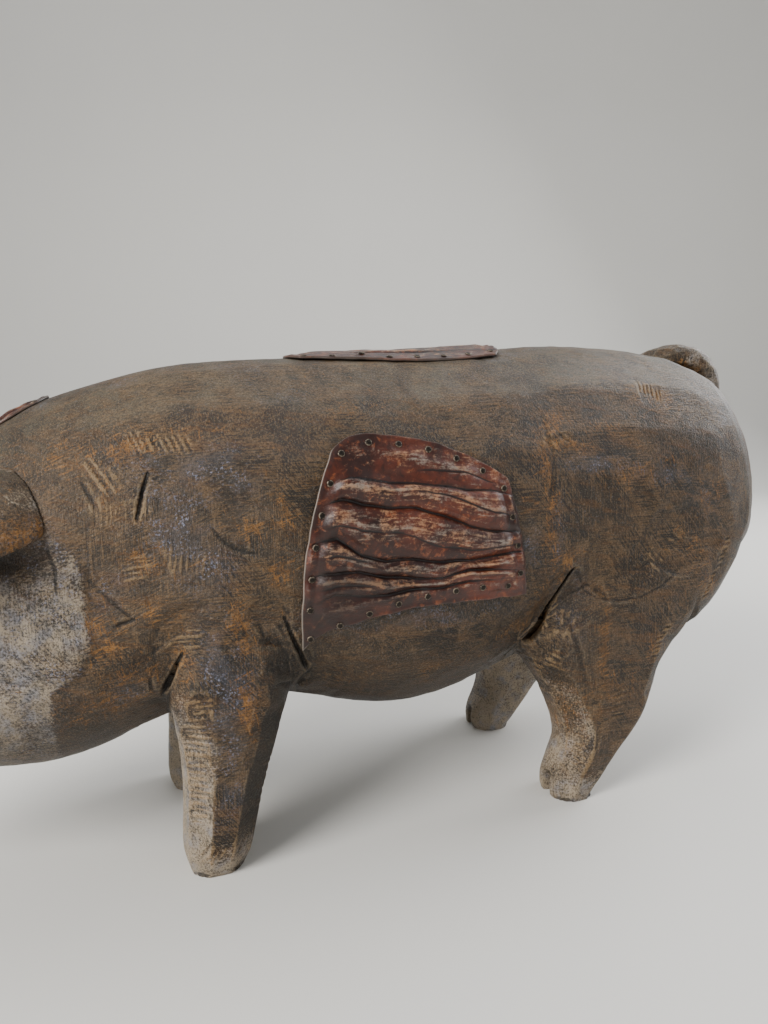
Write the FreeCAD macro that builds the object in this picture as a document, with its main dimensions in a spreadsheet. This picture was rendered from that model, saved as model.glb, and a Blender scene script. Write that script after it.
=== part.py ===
"""Carved wooden pig with tacked leather patches, as a FreeCAD document.

The pig stands on four hooves. Its trunk, head, legs, ears and tail are separate carved
blocks of wood, joined with glued dowels, and four leather patches are held on by tacks.

Row frame, in millimetres: the origin is on the floor, under the middle of the pig's
length. +Z is up, +X points to the tail, the snout points along -X, and the pig's left
side is -Y.
"""

import FreeCAD
import Part
import math
import os

from FreeCAD import Vector

LEFT, RIGHT = -1, 1

# Driving sizes that aren't stations of a carved form.
SIZES = {
    # Where the carved blocks meet.
    "head_joint_x": -188,
    "front_seam_z": 151,
    "front_seam_rise_x": -84,
    "front_seam_peak_x": -62,
    "front_seam_peak_z": 174,
    "hind_seam_z": 153,
    "hind_seam_rise_x": 162,
    "hind_seam_peak_x": 132,
    "hind_seam_peak_z": 186,
    "chest_half_width": 24,
    # Dowels.
    "leg_dowel_radius": 8,
    "leg_dowel_length": 80,
    "leg_dowel_gap": 44,
    "front_dowel_x": -104,
    "front_dowel_y": 57,
    "hind_dowel_x": 210,
    "hind_dowel_y": 52,
    "neck_dowel_radius": 10,
    "neck_dowel_length": 100,
    "neck_dowel_gap": 72,
    "neck_dowel_z": 205,
    "ear_dowel_radius": 4,
    "ear_dowel_length": 34,
    "tail_dowel_radius": 5,
    "tail_dowel_length": 46,
    # Leather patches.
    "leather_thick": 2.2,
    "wrinkle_high": 5.0,
    "patch_border": 9.0,
    # Tacks.
    "tack_head_radius": 2.3,
    "tack_head_high": 1.0,
    "tack_shank_radius": 0.7,
    "tack_shank_length": 9.0,
    "tack_point_length": 2.5,
    "tack_pitch": 21.0,
    "tack_inset": 5.0,
    "tack_bite": 0.5,
    # Face.
    "eye_x": -294,
    "eye_y": 47,
    "eye_z": 197,
    "eye_radius": 9,
    "nostril_wide": 5,
    "nostril_tall": 9,
    "nostril_deep": 11,
    "nostril_y": 15,
    "nostril_z": 138,
    "mouth_deep": 5,
    "mouth_gap": 3.5,
    # Ear: where its root leaves the head, and its leaf.
    "ear_root_x": -222,
    "ear_root_y": 74,
    "ear_root_z": 258,
    "ear_length": 92,
    "ear_half_width": 28.5,
    "ear_half_thick": 7,
    # Tail.
    "tail_root_radius": 14,
    "tail_tip_radius": 5,
    # Cleft at the front of each hind hoof.
    "cleft_wide": 6,
    "cleft_high": 13,
    "cleft_deep": 13,
}

# Stations of the core, which runs from the snout to the rump: place along X, underside,
# top, half width, and how square the section is, where 2 is an ellipse.
CORE_COLUMNS = ("x", "low", "top", "half", "square")
CORE = {
    "snout": (-370, 99, 181, 40, 2.3),
    "muzzle": (-348, 94, 190, 40, 2.2),
    "bridge": (-322, 88, 212, 45, 2.2),
    "brow": (-292, 81, 250, 57, 2.3),
    "cheek": (-261, 76, 284, 70, 2.4),
    "poll": (-228, 75, 305, 80, 2.4),
    "jowl": (-196, 79, 320, 86, 2.4),
    "neck": (-166, 89, 329, 88, 2.5),
    "shoulder": (-131, 100, 337, 91, 2.5),
    "withers": (-86, 104, 341, 94, 2.5),
    "girth": (-46, 95, 342, 96, 2.4),
    "belly": (4, 81, 343, 97, 2.4),
    "barrel": (52, 81, 344, 97, 2.4),
    "flank": (99, 93, 346, 95, 2.4),
    "loin": (144, 107, 349, 92, 2.4),
    "croup": (194, 119, 350, 90, 2.3),
    "ham": (244, 127, 346, 88, 2.3),
}
# Past the ham the core closes as a dome that reaches this far back and has this height.
RUMP = {"rump_end_x": 372, "rump_z": 236}
RUMP_STEPS = (0.36, 0.62, 0.80, 0.92, 0.985)

# Stations of a leg: height, front and rear edges along X, inner and outer faces from the
# middle plane.
LEG_COLUMNS = ("z", "front", "rear", "inner", "outer")
FRONT_LEG = {
    "fore_sole": (0, -137, -103, 43, 78),
    "fore_hoof": (11, -141, -97, 38, 83),
    "fore_pastern": (42, -140, -89, 35, 86),
    "fore_shank": (90, -140, -75, 31, 88),
    "fore_knee": (126, -146, -62, 26, 91),
    "fore_arm": (165, -152, -57, 24, 92),
    "fore_shoulder": (205, -146, -66, 26, 88),
    "fore_top": (250, -132, -82, 34, 76),
}
HIND_LEG = {
    "hind_sole": (0, 138, 172, 48, 88),
    "hind_hoof": (12, 135, 181, 44, 91),
    "hind_fetlock": (27, 141, 193, 42, 92),
    "hind_pastern": (46, 147, 209, 41, 93),
    "hind_hock": (74, 140, 231, 37, 94),
    "hind_gaskin": (92, 131, 238, 33, 94),
    "hind_stifle": (112, 118, 252, 26, 94),
    "hind_thigh": (132, 103, 278, 18, 94),
    "hind_seat": (153, 114, 304, 12, 93),
    "hind_ham": (182, 142, 320, 10, 89),
    "hind_hip": (215, 170, 324, 12, 82),
    "hind_top": (262, 202, 308, 20, 66),
}
SOLE_HEIGHT = 0.0
LEG_SQUARE = 2.6

# Corners and in-between points of the patches. Flank patches are drawn in X and Z, seen
# from the side; the others in X and Y, seen from above. Every second point is the middle
# of an arc.
LEFT_FLANK_OUTLINE = (
    (-60, 152), (-57, 222), (-38, 279), (-29, 287), (-10, 290),
    (36, 282), (85, 257), (96, 215), (102, 174), (21, 176),
)
RIGHT_FLANK_OUTLINE = (
    (-24, 182), (-31, 220), (-16, 262), (29, 276), (86, 268),
    (108, 228), (104, 190), (84, 168), (54, 158), (14, 164),
)
BACK_OUTLINE = (
    (-38, -20), (30, -37), (108, -36), (120, -10), (116, 26),
    (64, 44), (2, 38), (-30, 31), (-43, 10), (-43, -8),
)
CROWN_OUTLINE = (
    (-210, -11), (-232, -17), (-256, -12), (-263, 2), (-257, 18),
    (-232, 25), (-211, 19), (-206, 11), (-205, 3), (-206, -5),
)

SECTION_POINTS = 24
UNDERSIDE = -math.pi / 2


# The document and its sheet of sizes.

doc = FreeCAD.newDocument("carved_pig")
sheet = doc.addObject("Spreadsheet::Sheet", "Dims")


def fill_sheet():
    """Writes every driving size into the sheet, one row each, with its name as the alias."""
    rows = dict(SIZES)
    rows.update(RUMP)
    for table, columns in ((CORE, CORE_COLUMNS), (FRONT_LEG, LEG_COLUMNS), (HIND_LEG, LEG_COLUMNS)):
        for station, values in table.items():
            for column, value in zip(columns, values):
                rows[f"{station}_{column}"] = value
    for row, (name, value) in enumerate(rows.items(), start=1):
        sheet.set(f"A{row}", name)
        sheet.set(f"B{row}", str(value))
        sheet.setAlias(f"B{row}", name)
    doc.recompute()


def size(name):
    """A driving size, read back from the sheet."""
    return float(sheet.get(name))


def station(name, columns):
    """One station's sizes, in the order of its columns."""
    return [size(f"{name}_{column}") for column in columns]


def add(kind, name, **bound):
    """A document object whose properties are bound to expressions over the sheet."""
    thing = doc.addObject(kind, name)
    for key, expression in bound.items():
        thing.setExpression(key.replace("__", "."), expression)
    return thing


def feature(name, shape):
    """A Part::Feature that holds a carved or draped shape."""
    thing = doc.addObject("Part::Feature", name)
    thing.Shape = shape
    return thing


def fuse(name, *things):
    result = doc.addObject("Part::MultiFuse", name)
    result.Shapes = list(things)
    return result


def common(name, *things):
    result = doc.addObject("Part::MultiCommon", name)
    result.Shapes = list(things)
    return result


def cut(name, base, tool):
    result = doc.addObject("Part::Cut", name)
    result.Base = base
    result.Tool = tool
    return result


# Carved forms.


def superellipse(count, square, start=0.0):
    """Unit superellipse points (across, up), counted round from a starting angle."""
    points = []
    for step in range(count):
        angle = start + 2 * math.pi * step / count
        c, s = math.cos(angle), math.sin(angle)
        points.append((
            math.copysign(abs(c) ** (2 / square), c),
            math.copysign(abs(s) ** (2 / square), s),
        ))
    return points


def smooth_ring(points):
    """A closed smooth wire through the points."""
    curve = Part.BSplineCurve()
    curve.interpolate(points, PeriodicFlag=True)
    return Part.Wire(curve.toShape())


def smooth_loft(rings):
    """A solid through the rings, by a surface of the third degree."""
    return Part.makeLoft(rings, True, False, False, 3)


def core_ring(x, low, top, half, square, grow):
    """A section of the core across X, grown outward by grow."""
    middle, reach = (low + top) / 2, (top - low) / 2 + grow
    return smooth_ring([
        Vector(x, (half + grow) * across, middle + reach * up)
        for across, up in superellipse(SECTION_POINTS, square, UNDERSIDE)
    ])


def core_solid(grow=0.0):
    """The snout, head, neck and trunk as one form. The patches' skins are this, grown."""
    rings = [core_ring(*station(name, CORE_COLUMNS), grow) for name in CORE]
    x, low, top, half, square = station("ham", CORE_COLUMNS)
    reach = size("rump_end_x") - x
    for share in RUMP_STEPS:
        shrink = math.sqrt(1 - share ** 2)
        middle = (low + top) / 2 + (size("rump_z") - (low + top) / 2) * share
        tall = (top - low) / 2 * shrink
        rings.append(core_ring(
            x + (reach + grow) * share, middle - tall, middle + tall, half * shrink, square, grow * shrink,
        ))
    return smooth_loft(rings)


def leg_solid(table, side):
    """A leg from its sole up into the trunk."""
    rings = []
    for name in table:
        z, front, rear, inner, outer = station(name, LEG_COLUMNS)
        middle_x, reach_x = (front + rear) / 2, (rear - front) / 2
        middle_y, reach_y = side * (inner + outer) / 2, (outer - inner) / 2
        rings.append(smooth_ring([
            Vector(middle_x + reach_x * across, middle_y + side * reach_y * up, z)
            for across, up in superellipse(SECTION_POINTS, LEG_SQUARE)
        ]))
    return smooth_loft(rings)


def prism_xz(points, y_start, y_end):
    """An upright slab: an outline in X and Z, carried from y_start to y_end."""
    corners = [Vector(x, y_start, z) for x, z in points]
    face = Part.Face(Part.makePolygon(corners + corners[:1]))
    return face.extrude(Vector(0, y_end - y_start, 0))


def block_zone(name, prefix, toe, heel, side, inner):
    """The space of a leg block: below its seam, which rises to a peak beside the belly."""
    seam, peak = size(f"{prefix}_seam_z"), size(f"{prefix}_seam_peak_z")
    rise, peak_x = size(f"{prefix}_seam_rise_x"), size(f"{prefix}_seam_peak_x")
    below = SOLE_HEIGHT - 10
    if prefix == "front":
        outline = [(toe, below), (toe, seam), (rise, seam), (peak_x, peak), (heel, peak), (heel, below)]
    else:
        outline = [(toe, below), (toe, peak), (peak_x, peak), (rise, seam), (heel, seam), (heel, below)]
    far = 130
    return feature(name, prism_xz(outline, side * inner, side * far))


def build_leg(prefix, table, side, name):
    """The leg's whole form, its block below the seam, and its two dowels."""
    form = feature(f"{name}_form", leg_solid(table, side))
    toe, heel = (-176, -16) if prefix == "front" else (74, 354)
    inner = size("chest_half_width") if prefix == "front" else 0
    zone = block_zone(f"{name}_zone", prefix, toe, heel, side, inner)
    block = common(f"{name}_block", form, zone)
    hoof = cut(f"{name}_cleft_cut", block, hoof_cleft(name, side)) if prefix == "hind" else block
    dowels = []
    for step in (-0.5, 0.5):
        dowels.append(add(
            "Part::Cylinder", f"{name}_dowel_{'front' if step < 0 else 'rear'}",
            Radius="Dims.leg_dowel_radius",
            Height="Dims.leg_dowel_length",
            Placement__Base__x=f"Dims.{prefix}_dowel_x + Dims.leg_dowel_gap * {step}",
            Placement__Base__y=f"Dims.{prefix}_dowel_y * {side}",
            Placement__Base__z=f"Dims.{prefix}_seam_z - Dims.leg_dowel_length / 2",
        ))
    pair = fuse(f"{name}_dowel_pair", *dowels)
    pair.Label = f"{name}_dowels"
    leg = cut(f"{name}_finished", hoof, pair)
    leg.Label = f"{name}_leg"
    return form, block, leg, pair


def hoof_cleft(name, side):
    """The arched notch between the toes of a hind hoof, open to the front and below."""
    middle = f"(Dims.hind_sole_inner + Dims.hind_sole_outer) / 2 * {side}"
    slot = add(
        "Part::Box", f"{name}_cleft_slot",
        Length="Dims.cleft_deep + 20",
        Width="Dims.cleft_wide",
        Height="Dims.cleft_high - Dims.cleft_wide / 2 + 10",
        Placement__Base__x="Dims.hind_sole_front - 20",
        Placement__Base__y=f"{middle} - Dims.cleft_wide / 2",
        Placement__Base__z="-10",
    )
    arch = add(
        "Part::Cylinder", f"{name}_cleft_arch",
        Radius="Dims.cleft_wide / 2",
        Height="Dims.cleft_deep + 20",
        Placement__Base__x="Dims.hind_sole_front - 20",
        Placement__Base__y=middle,
        Placement__Base__z="Dims.cleft_high - Dims.cleft_wide / 2",
    )
    arch.Placement.Rotation = FreeCAD.Rotation(Vector(0, 1, 0), 90)
    return fuse(f"{name}_cleft", slot, arch)


# Ears and tail.


def ear_solid(side):
    """A lop ear: a leaf that leaves the head, swells, and narrows to a tip in front."""
    root = Vector(size("ear_root_x"), side * size("ear_root_y"), size("ear_root_z"))
    length, half, thick = size("ear_length"), size("ear_half_width"), size("ear_half_thick")
    stages = (  # share of length, share of width, share of thickness, droop, spread
        (-0.16, 0.62, 1.00, 0.06, -0.16),
        (0.00, 0.86, 1.15, 0.00, 0.00),
        (0.22, 1.00, 1.05, -0.03, 0.12),
        (0.48, 0.94, 0.90, -0.12, 0.19),
        (0.72, 0.70, 0.78, -0.26, 0.22),
        (0.90, 0.38, 0.66, -0.39, 0.20),
        (1.00, 0.10, 0.45, -0.47, 0.18),
    )
    # The leaf's width runs from the crown, down and out over the cheek.
    wide_way = Vector(0.40, side * 0.42, -0.81)
    wide_way.normalize()
    rings = []
    for along, width, depth, droop, spread in stages:
        centre = root + Vector(-length * along, side * length * spread, length * droop)
        lean = wide_way + Vector(-0.25 * along, 0, 0)
        lean.normalize()
        out = Vector(0, side, 0) * 1.0 + Vector(0, 0, 0.55)
        out = out - lean * out.dot(lean)
        out.normalize()
        rings.append(smooth_ring([
            centre + lean * (half * width * across) + out * (thick * depth * up)
            for across, up in superellipse(16, 2.0)
        ]))
    return smooth_loft(rings)


def tail_path():
    """Points along the middle of the curled tail, from inside the rump to the tip."""
    return [
        Vector(326, 0, 284),
        Vector(335, -2, 305),
        Vector(331, -4, 326),
        Vector(316, -3, 339),
        Vector(297, 4, 341),
        Vector(283, 16, 335),
        Vector(278, 32, 322),
        Vector(285, 46, 309),
        Vector(301, 50, 299),
    ]


def tail_solid():
    """The tail: round sections that thin towards the tip, along its curled path."""
    curve = Part.BSplineCurve()
    curve.interpolate(tail_path())
    steps = 16
    first, last = curve.FirstParameter, curve.LastParameter
    start, end = size("tail_root_radius"), size("tail_tip_radius")
    rings = []
    for step in range(steps + 1):
        share = step / steps
        at = first + (last - first) * share
        radius = start + (end - start) * share ** 1.3
        circle = Part.Circle(curve.value(at), curve.tangent(at)[0], radius)
        rings.append(Part.Wire(circle.toShape()))
    return smooth_loft(rings)


# Patches and tacks.


def outline_wire(points, lift):
    """A closed wire of arcs through an outline's corners and in-between points."""
    spots = [lift(a, b) for a, b in points]
    count = len(spots)
    edges = []
    for corner in range(0, count, 2):
        start, middle, end = spots[corner], spots[corner + 1], spots[(corner + 2) % count]
        edges.append(Part.Arc(start, middle, end).toShape())
    return Part.Wire(edges)


def patch_solid(wood, outline, lift, through):
    """A leather patch on the wood's skin: a thin tacked border and a raised, wrinkled field."""
    wire = outline_wire(outline, lift)
    inner = wire.makeOffset2D(-size("patch_border"))
    skin = core_solid(size("leather_thick"))
    ridge = core_solid(size("wrinkle_high"))
    sheet_part = Part.Face(wire).extrude(through).common(skin)
    field_part = Part.Face(inner).extrude(through).common(ridge)
    return sheet_part.fuse(field_part).cut(wood)


def tack_shape():
    """One tack, head up, with the underside of its head at the origin."""
    head = add("Part::Cylinder", "tack_head", Radius="Dims.tack_head_radius", Height="Dims.tack_head_high")
    shank = add(
        "Part::Cylinder", "tack_shank",
        Radius="Dims.tack_shank_radius",
        Height="Dims.tack_shank_length",
        Placement__Base__z="-Dims.tack_shank_length",
    )
    point = add(
        "Part::Cone", "tack_point",
        Radius1="Dims.tack_shank_radius * 0.15",
        Radius2="Dims.tack_shank_radius",
        Height="Dims.tack_point_length",
        Placement__Base__z="-Dims.tack_shank_length - Dims.tack_point_length",
    )
    rounded = doc.addObject("Part::Fillet", "tack_head_round")
    rounded.Base = head
    doc.recompute()
    rim = [i + 1 for i, e in enumerate(head.Shape.Edges) if e.CenterOfMass.z > head.Shape.CenterOfMass.z
           and e.isClosed()]
    rounded.Edges = [(i, 0.45, 0.45) for i in rim]
    whole = fuse("tack", rounded, shank, point)
    doc.recompute()
    return whole.Shape


def tack_group(tack, outline, lift, through):
    """Tacks round a patch's border, each square to the leather and bitten into it."""
    wire = outline_wire(outline, lift).makeOffset2D(-size("tack_inset"))
    count = max(3, round(wire.Length / size("tack_pitch")))
    skin = max(core_solid(size("leather_thick")).Faces, key=lambda face: face.Area)
    tacks = []
    for spot in wire.discretize(count + 1)[:-1]:
        nearest = min(
            skin.Surface.intersect(Part.Line(spot, spot + through))[0],
            key=lambda point: Vector(point.X, point.Y, point.Z).distanceToPoint(spot),
        )
        touch = Vector(nearest.X, nearest.Y, nearest.Z)
        normal = skin.normalAt(*skin.Surface.parameter(touch))
        if normal.dot(through) > 0:
            normal = -normal
        seat = touch - normal * size("tack_bite")
        placed = tack.copy()
        placed.Placement = FreeCAD.Placement(seat, FreeCAD.Rotation(Vector(0, 0, 1), normal))
        tacks.append(placed)
    return Part.makeCompound(tacks)


def side_lift(side):
    """Puts a flank outline on an upright plane beside the pig."""
    return lambda x, z: Vector(x, side * 125, z)


def top_lift(x, y):
    """Puts a back or crown outline on a level plane above the pig."""
    return Vector(x, y, 380)


# The face.


def mouth_shape(wood):
    """The carved line of the mouth: a shallow groove round the muzzle's sides."""
    depth, gap = size("mouth_deep"), size("mouth_gap")
    inner = core_solid(-depth)
    line = [(-378, 112), (-360, 113), (-334, 112), (-306, 118)]
    upper = [(x, z + gap / 2) for x, z in line]
    lower = [(x, z - gap / 2) for x, z in reversed(line[:-1])]
    blade = prism_xz(upper + lower, -120, 120)
    back_of_disc = prism_xz([(-364, 60), (-364, 200), (-266, 200), (-266, 60)], -120, 120)
    return blade.common(back_of_disc).common(wood).cut(inner)


def face_cutters():
    """Two nostrils, set into the snout's disc."""
    cutters = []
    for side in (LEFT, RIGHT):
        cutters.append(add(
            "Part::Ellipsoid", f"nostril_{'left' if side == LEFT else 'right'}",
            Radius1="Dims.nostril_tall",
            Radius2="Dims.nostril_deep",
            Radius3="Dims.nostril_wide",
            Placement__Base__x="Dims.snout_x",
            Placement__Base__y=f"Dims.nostril_y * {side}",
            Placement__Base__z="Dims.nostril_z",
        ))
    return cutters


def eye(side):
    return add(
        "Part::Sphere", f"eye_{'left' if side == LEFT else 'right'}",
        Radius="Dims.eye_radius",
        Placement__Base__x="Dims.eye_x",
        Placement__Base__y=f"Dims.eye_y * {side}",
        Placement__Base__z="Dims.eye_z",
    )


def rod_between(name, label, start, way, length, radius):
    """A dowel: a cylinder that starts at a point and runs along a direction."""
    rod = add("Part::Cylinder", name, Radius=f"Dims.{radius}", Height=f"Dims.{length}")
    rod.Placement = FreeCAD.Placement(start, FreeCAD.Rotation(Vector(0, 0, 1), way))
    rod.Label = label
    return rod


def build():
    """Makes every sub-part and returns those that are written out."""
    fill_sheet()
    core = feature("core_form", core_solid())

    legs = {}
    for prefix, table in (("front", FRONT_LEG), ("hind", HIND_LEG)):
        for side, word in ((LEFT, "left"), (RIGHT, "right")):
            legs[f"{prefix}_{word}"] = build_leg(prefix, table, side, f"{prefix}_{word}")
    doc.recompute()

    joint = size("head_joint_x")
    ahead = feature("head_zone", Part.makeBox(300, 300, 500, Vector(joint - 300, -150, -50)))
    behind = feature("trunk_zone", Part.makeBox(700, 300, 500, Vector(joint, -150, -50)))

    # Neck dowels, one each side of the middle plane.
    neck = []
    for step in (-0.5, 0.5):
        rod = add(
            "Part::Cylinder", f"neck_dowel_{'left' if step < 0 else 'right'}",
            Radius="Dims.neck_dowel_radius",
            Height="Dims.neck_dowel_length",
            Placement__Base__x="Dims.head_joint_x - Dims.neck_dowel_length / 2",
            Placement__Base__y=f"Dims.neck_dowel_gap * {step}",
            Placement__Base__z="Dims.neck_dowel_z",
        )
        rod.Placement.Rotation = FreeCAD.Rotation(Vector(0, 1, 0), 90)
        neck.append(rod)
    neck_dowels = fuse("neck_dowel_pair", *neck)
    neck_dowels.Label = "neck_dowels"

    # Ears and tail, each with its dowel.
    ear_forms, ear_dowels = {}, {}
    for side, word in ((LEFT, "left"), (RIGHT, "right")):
        ear_forms[word] = feature(f"{word}_ear_form", ear_solid(side))
        way = Vector(0.62, -side * 0.70, -0.36)
        way.normalize()
        root = Vector(size("ear_root_x"), side * size("ear_root_y"), size("ear_root_z"))
        start = root - way * 12 + Vector(-6, 0, -3)
        ear_dowels[word] = rod_between(
            f"{word}_ear_rod", f"{word}_ear_dowel", start, way, "ear_dowel_length", "ear_dowel_radius",
        )
    tail_form = feature("tail_form", tail_solid())
    tail_way = Vector(-0.55, 0, -0.84)
    tail_dowel = rod_between(
        "tail_rod", "tail_dowel", Vector(336, -2, 303), tail_way, "tail_dowel_length", "tail_dowel_radius",
    )
    doc.recompute()

    # Patches and tacks go on the carved skin.
    tack = tack_shape()
    groups = {
        "left_flank": (LEFT_FLANK_OUTLINE, side_lift(LEFT), Vector(0, 85, 0)),
        "right_flank": (RIGHT_FLANK_OUTLINE, side_lift(RIGHT), Vector(0, -85, 0)),
        "back": (BACK_OUTLINE, top_lift, Vector(0, 0, -85)),
        "crown": (CROWN_OUTLINE, top_lift, Vector(0, 0, -150)),
    }
    patches, tacks = {}, {}
    for name, (outline, lift, through) in groups.items():
        tacks[name] = feature(f"{name}_tack_group", tack_group(tack, outline, lift, through))
        tacks[name].Label = f"{name}_tacks"
        blank = feature(f"{name}_blank", patch_solid(core.Shape, outline, lift, through))
        patches[name] = cut(f"{name}_leather", blank, tacks[name])
        patches[name].Label = f"{name}_patch"
    doc.recompute()

    # Head: the core ahead of the joint, with eyes, nostrils and mouth.
    head_core = common("head_block", core, ahead)
    eyes = [eye(LEFT), eye(RIGHT)]
    head_with_eyes = fuse("head_with_eyes", head_core, *eyes)
    doc.recompute()
    mouth = feature("mouth_line", mouth_shape(head_with_eyes.Shape))
    head_tools = fuse(
        "head_tools", *face_cutters(), mouth, neck_dowels,
        ear_dowels["left"], ear_dowels["right"], tacks["crown"],
    )
    head = cut("head_carving", head_with_eyes, head_tools)
    head.Label = "head"

    # Each ear is let into nothing: its root is coped to the head's skin.
    ears = {}
    for word, form in ear_forms.items():
        coped = cut(f"{word}_ear_coped", form, fuse(f"{word}_ear_tools", head_with_eyes, ear_dowels[word]))
        ears[word] = coped
        coped.Label = f"{word}_ear"

    # Trunk: the core behind the joint, with the tops of the legs, less the leg blocks.
    trunk_core = common("trunk_block", core, behind)
    trunk_form = fuse("trunk_with_hips", trunk_core, *(form for form, *_ in legs.values()))
    tail = cut("tail_coped", tail_form, fuse("tail_tools", trunk_form, tail_dowel))
    tail.Label = "tail"
    trunk_tools = fuse(
        "trunk_tools", *(block for _, block, _, _ in legs.values()), neck_dowels, tail_dowel,
        tacks["left_flank"], tacks["right_flank"], tacks["back"],
        *(pair for *_, pair in legs.values()),
    )
    trunk = cut("trunk_carving", trunk_form, trunk_tools)
    trunk.Label = "trunk"
    doc.recompute()

    made = [trunk, head, tail, neck_dowels, tail_dowel, *ears.values(), *ear_dowels.values()]
    for _, _, leg, pair in legs.values():
        made += [leg, pair]
    made += [*patches.values(), *tacks.values()]
    return made


def check(made):
    """Stops if any object failed, or any sub-part is empty or invalid."""
    for thing in doc.Objects:
        if "Invalid" in thing.State or "Error" in thing.State:
            raise RuntimeError(f"{thing.Label} did not build: {thing.State}")
    for thing in made:
        shape = thing.Shape
        if shape.isNull() or not shape.isValid() or shape.Volume <= 0:
            raise RuntimeError(f"{thing.Label} has no valid shape")


def write(made):
    os.makedirs("parts", exist_ok=True)
    for thing in made:
        thing.Shape.exportStep(f"parts/{thing.Label}.step")
        print(thing.Label, len(thing.Shape.Solids), round(thing.Shape.Volume / 1000, 1), "cm3")


parts = build()
check(parts)
write(parts)
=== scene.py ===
"""The carved wooden pig, its leather patches and tacks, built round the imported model.

Lengths are millimetres, except in studio() and camera(), which use metres.
"""

import math

import bmesh
import bpy
import numpy as np
from mathutils import Matrix, Vector
from mathutils.bvhtree import BVHTree
from mathutils.kdtree import KDTree


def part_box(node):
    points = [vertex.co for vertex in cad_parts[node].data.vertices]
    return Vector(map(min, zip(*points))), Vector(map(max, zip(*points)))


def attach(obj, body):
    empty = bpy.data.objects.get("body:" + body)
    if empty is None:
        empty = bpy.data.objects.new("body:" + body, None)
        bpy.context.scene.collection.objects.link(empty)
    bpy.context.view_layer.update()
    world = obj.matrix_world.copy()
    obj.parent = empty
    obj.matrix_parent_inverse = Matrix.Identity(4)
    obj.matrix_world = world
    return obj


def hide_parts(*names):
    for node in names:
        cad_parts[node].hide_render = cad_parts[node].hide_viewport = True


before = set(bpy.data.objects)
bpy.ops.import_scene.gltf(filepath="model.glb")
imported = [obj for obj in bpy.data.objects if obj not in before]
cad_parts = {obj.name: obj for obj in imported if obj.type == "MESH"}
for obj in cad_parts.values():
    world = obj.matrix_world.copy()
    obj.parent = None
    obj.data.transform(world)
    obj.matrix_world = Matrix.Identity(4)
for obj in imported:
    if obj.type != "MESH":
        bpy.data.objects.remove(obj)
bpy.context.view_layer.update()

MM = 0.001
LEFT, RIGHT = -1, 1
WOOD_NODES = ("trunk", "head", "front_left_leg", "front_right_leg", "hind_left_leg", "hind_right_leg")
BODY_DOWELS = (
    "neck_dowels", "front_left_dowels", "front_right_dowels", "hind_left_dowels", "hind_right_dowels",
)
DOWEL_NODES = BODY_DOWELS + ("left_ear_dowel", "right_ear_dowel", "tail_dowel")


# Numbers and noise.


def clip01(values):
    return np.clip(values, 0.0, 1.0)


def ramp(values, low, high):
    """0 at low, 1 at high, smooth between. low may be above high."""
    t = clip01((values - low) / (high - low))
    return t * t * (3 - 2 * t)


def most(*masks):
    return np.maximum.reduce(masks)


def unit(vectors):
    return vectors / np.maximum(np.linalg.norm(vectors, axis=-1, keepdims=True), 1e-9)


def hashed(cells, seed):
    """Repeatable values from 0 to 1 for whole-numbered cells."""
    a, b, c = cells[..., 0], cells[..., 1], cells[..., 2]
    h = (a * 73856093 ^ b * 19349663 ^ c * 83492791 ^ seed * 2654435761) & 0xFFFFFFFF
    h = (h ^ (h >> 13)) * 1274126177 & 0xFFFFFFFF
    h = (h ^ (h >> 16)) * 2246822519 & 0xFFFFFFFF
    return ((h ^ (h >> 15)) & 0xFFFFFF) / float(0xFFFFFF)


def noise(points, wavelength, seed):
    """Smooth noise from -1 to 1 over points."""
    p = np.asarray(points, float) / wavelength
    base = np.floor(p).astype(np.int64)
    f = p - base
    f = f * f * (3 - 2 * f)
    total = np.zeros(len(p))
    for corner in range(8):
        step = np.array([corner & 1, corner >> 1 & 1, corner >> 2 & 1])
        total += np.prod(np.where(step, f, 1 - f), axis=-1) * hashed(base + step, seed)
    return total * 2 - 1


def fractal(points, wavelength, seed, octaves=3):
    """Noise with finer, weaker noise added, from -1 to 1."""
    total, scale = np.zeros(len(points)), 1.0
    for octave in range(octaves):
        total += noise(points, wavelength / 2 ** octave, seed + octave * 17) * scale
        scale *= 0.5
    return total / (2 - 2 * scale)


def line_distance(x, z, line):
    """Distance to a line of (x, z) points, and how far along it the nearest place is, 0 to 1."""
    best, along = np.full(len(x), 1e9), np.zeros(len(x))
    lengths = [math.dist(a, b) for a, b in zip(line, line[1:])]
    total, done = sum(lengths), 0.0
    for (ax, az), (bx, bz), length in zip(line, line[1:], lengths):
        ux, uz = (bx - ax) / length, (bz - az) / length
        t = np.clip((x - ax) * ux + (z - az) * uz, 0, length)
        d = np.hypot(x - ax - t * ux, z - az - t * uz)
        near = d < best
        best[near] = d[near]
        along[near] = (done + t[near]) / total
        done += length
    return best, along


def groove(gap, half):
    """The profile of a rounded groove: 1 in its middle, 0 from its half width out."""
    return clip01(1 - (gap / half) ** 2)


def spot(x, z, cx, cz, rx, rz, turn=0.0):
    """A soft oval, 1 at its centre, with radii rx and rz and a turn in degrees."""
    c, s = math.cos(math.radians(turn)), math.sin(math.radians(turn))
    a = (x - cx) * c + (z - cz) * s
    b = -(x - cx) * s + (z - cz) * c
    return np.exp(-((a / rx) ** 2 + (b / rz) ** 2))


# Meshes.


def read(sequence, name, width, kind):
    """One property of every vertex, edge, face or corner."""
    flat = np.empty(len(sequence) * width, kind)
    sequence.foreach_get(name, flat)
    return flat.reshape(-1, width) if width > 1 else flat


def get_points(mesh):
    return read(mesh.vertices, "co", 3, np.float32).astype(float) / MM


def set_points(mesh, points):
    mesh.vertices.foreach_set("co", (points * MM).astype(np.float32).ravel())
    mesh.update()


def get_triangles(mesh):
    mesh.calc_loop_triangles()
    return read(mesh.loop_triangles, "vertices", 3, np.int32)


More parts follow.
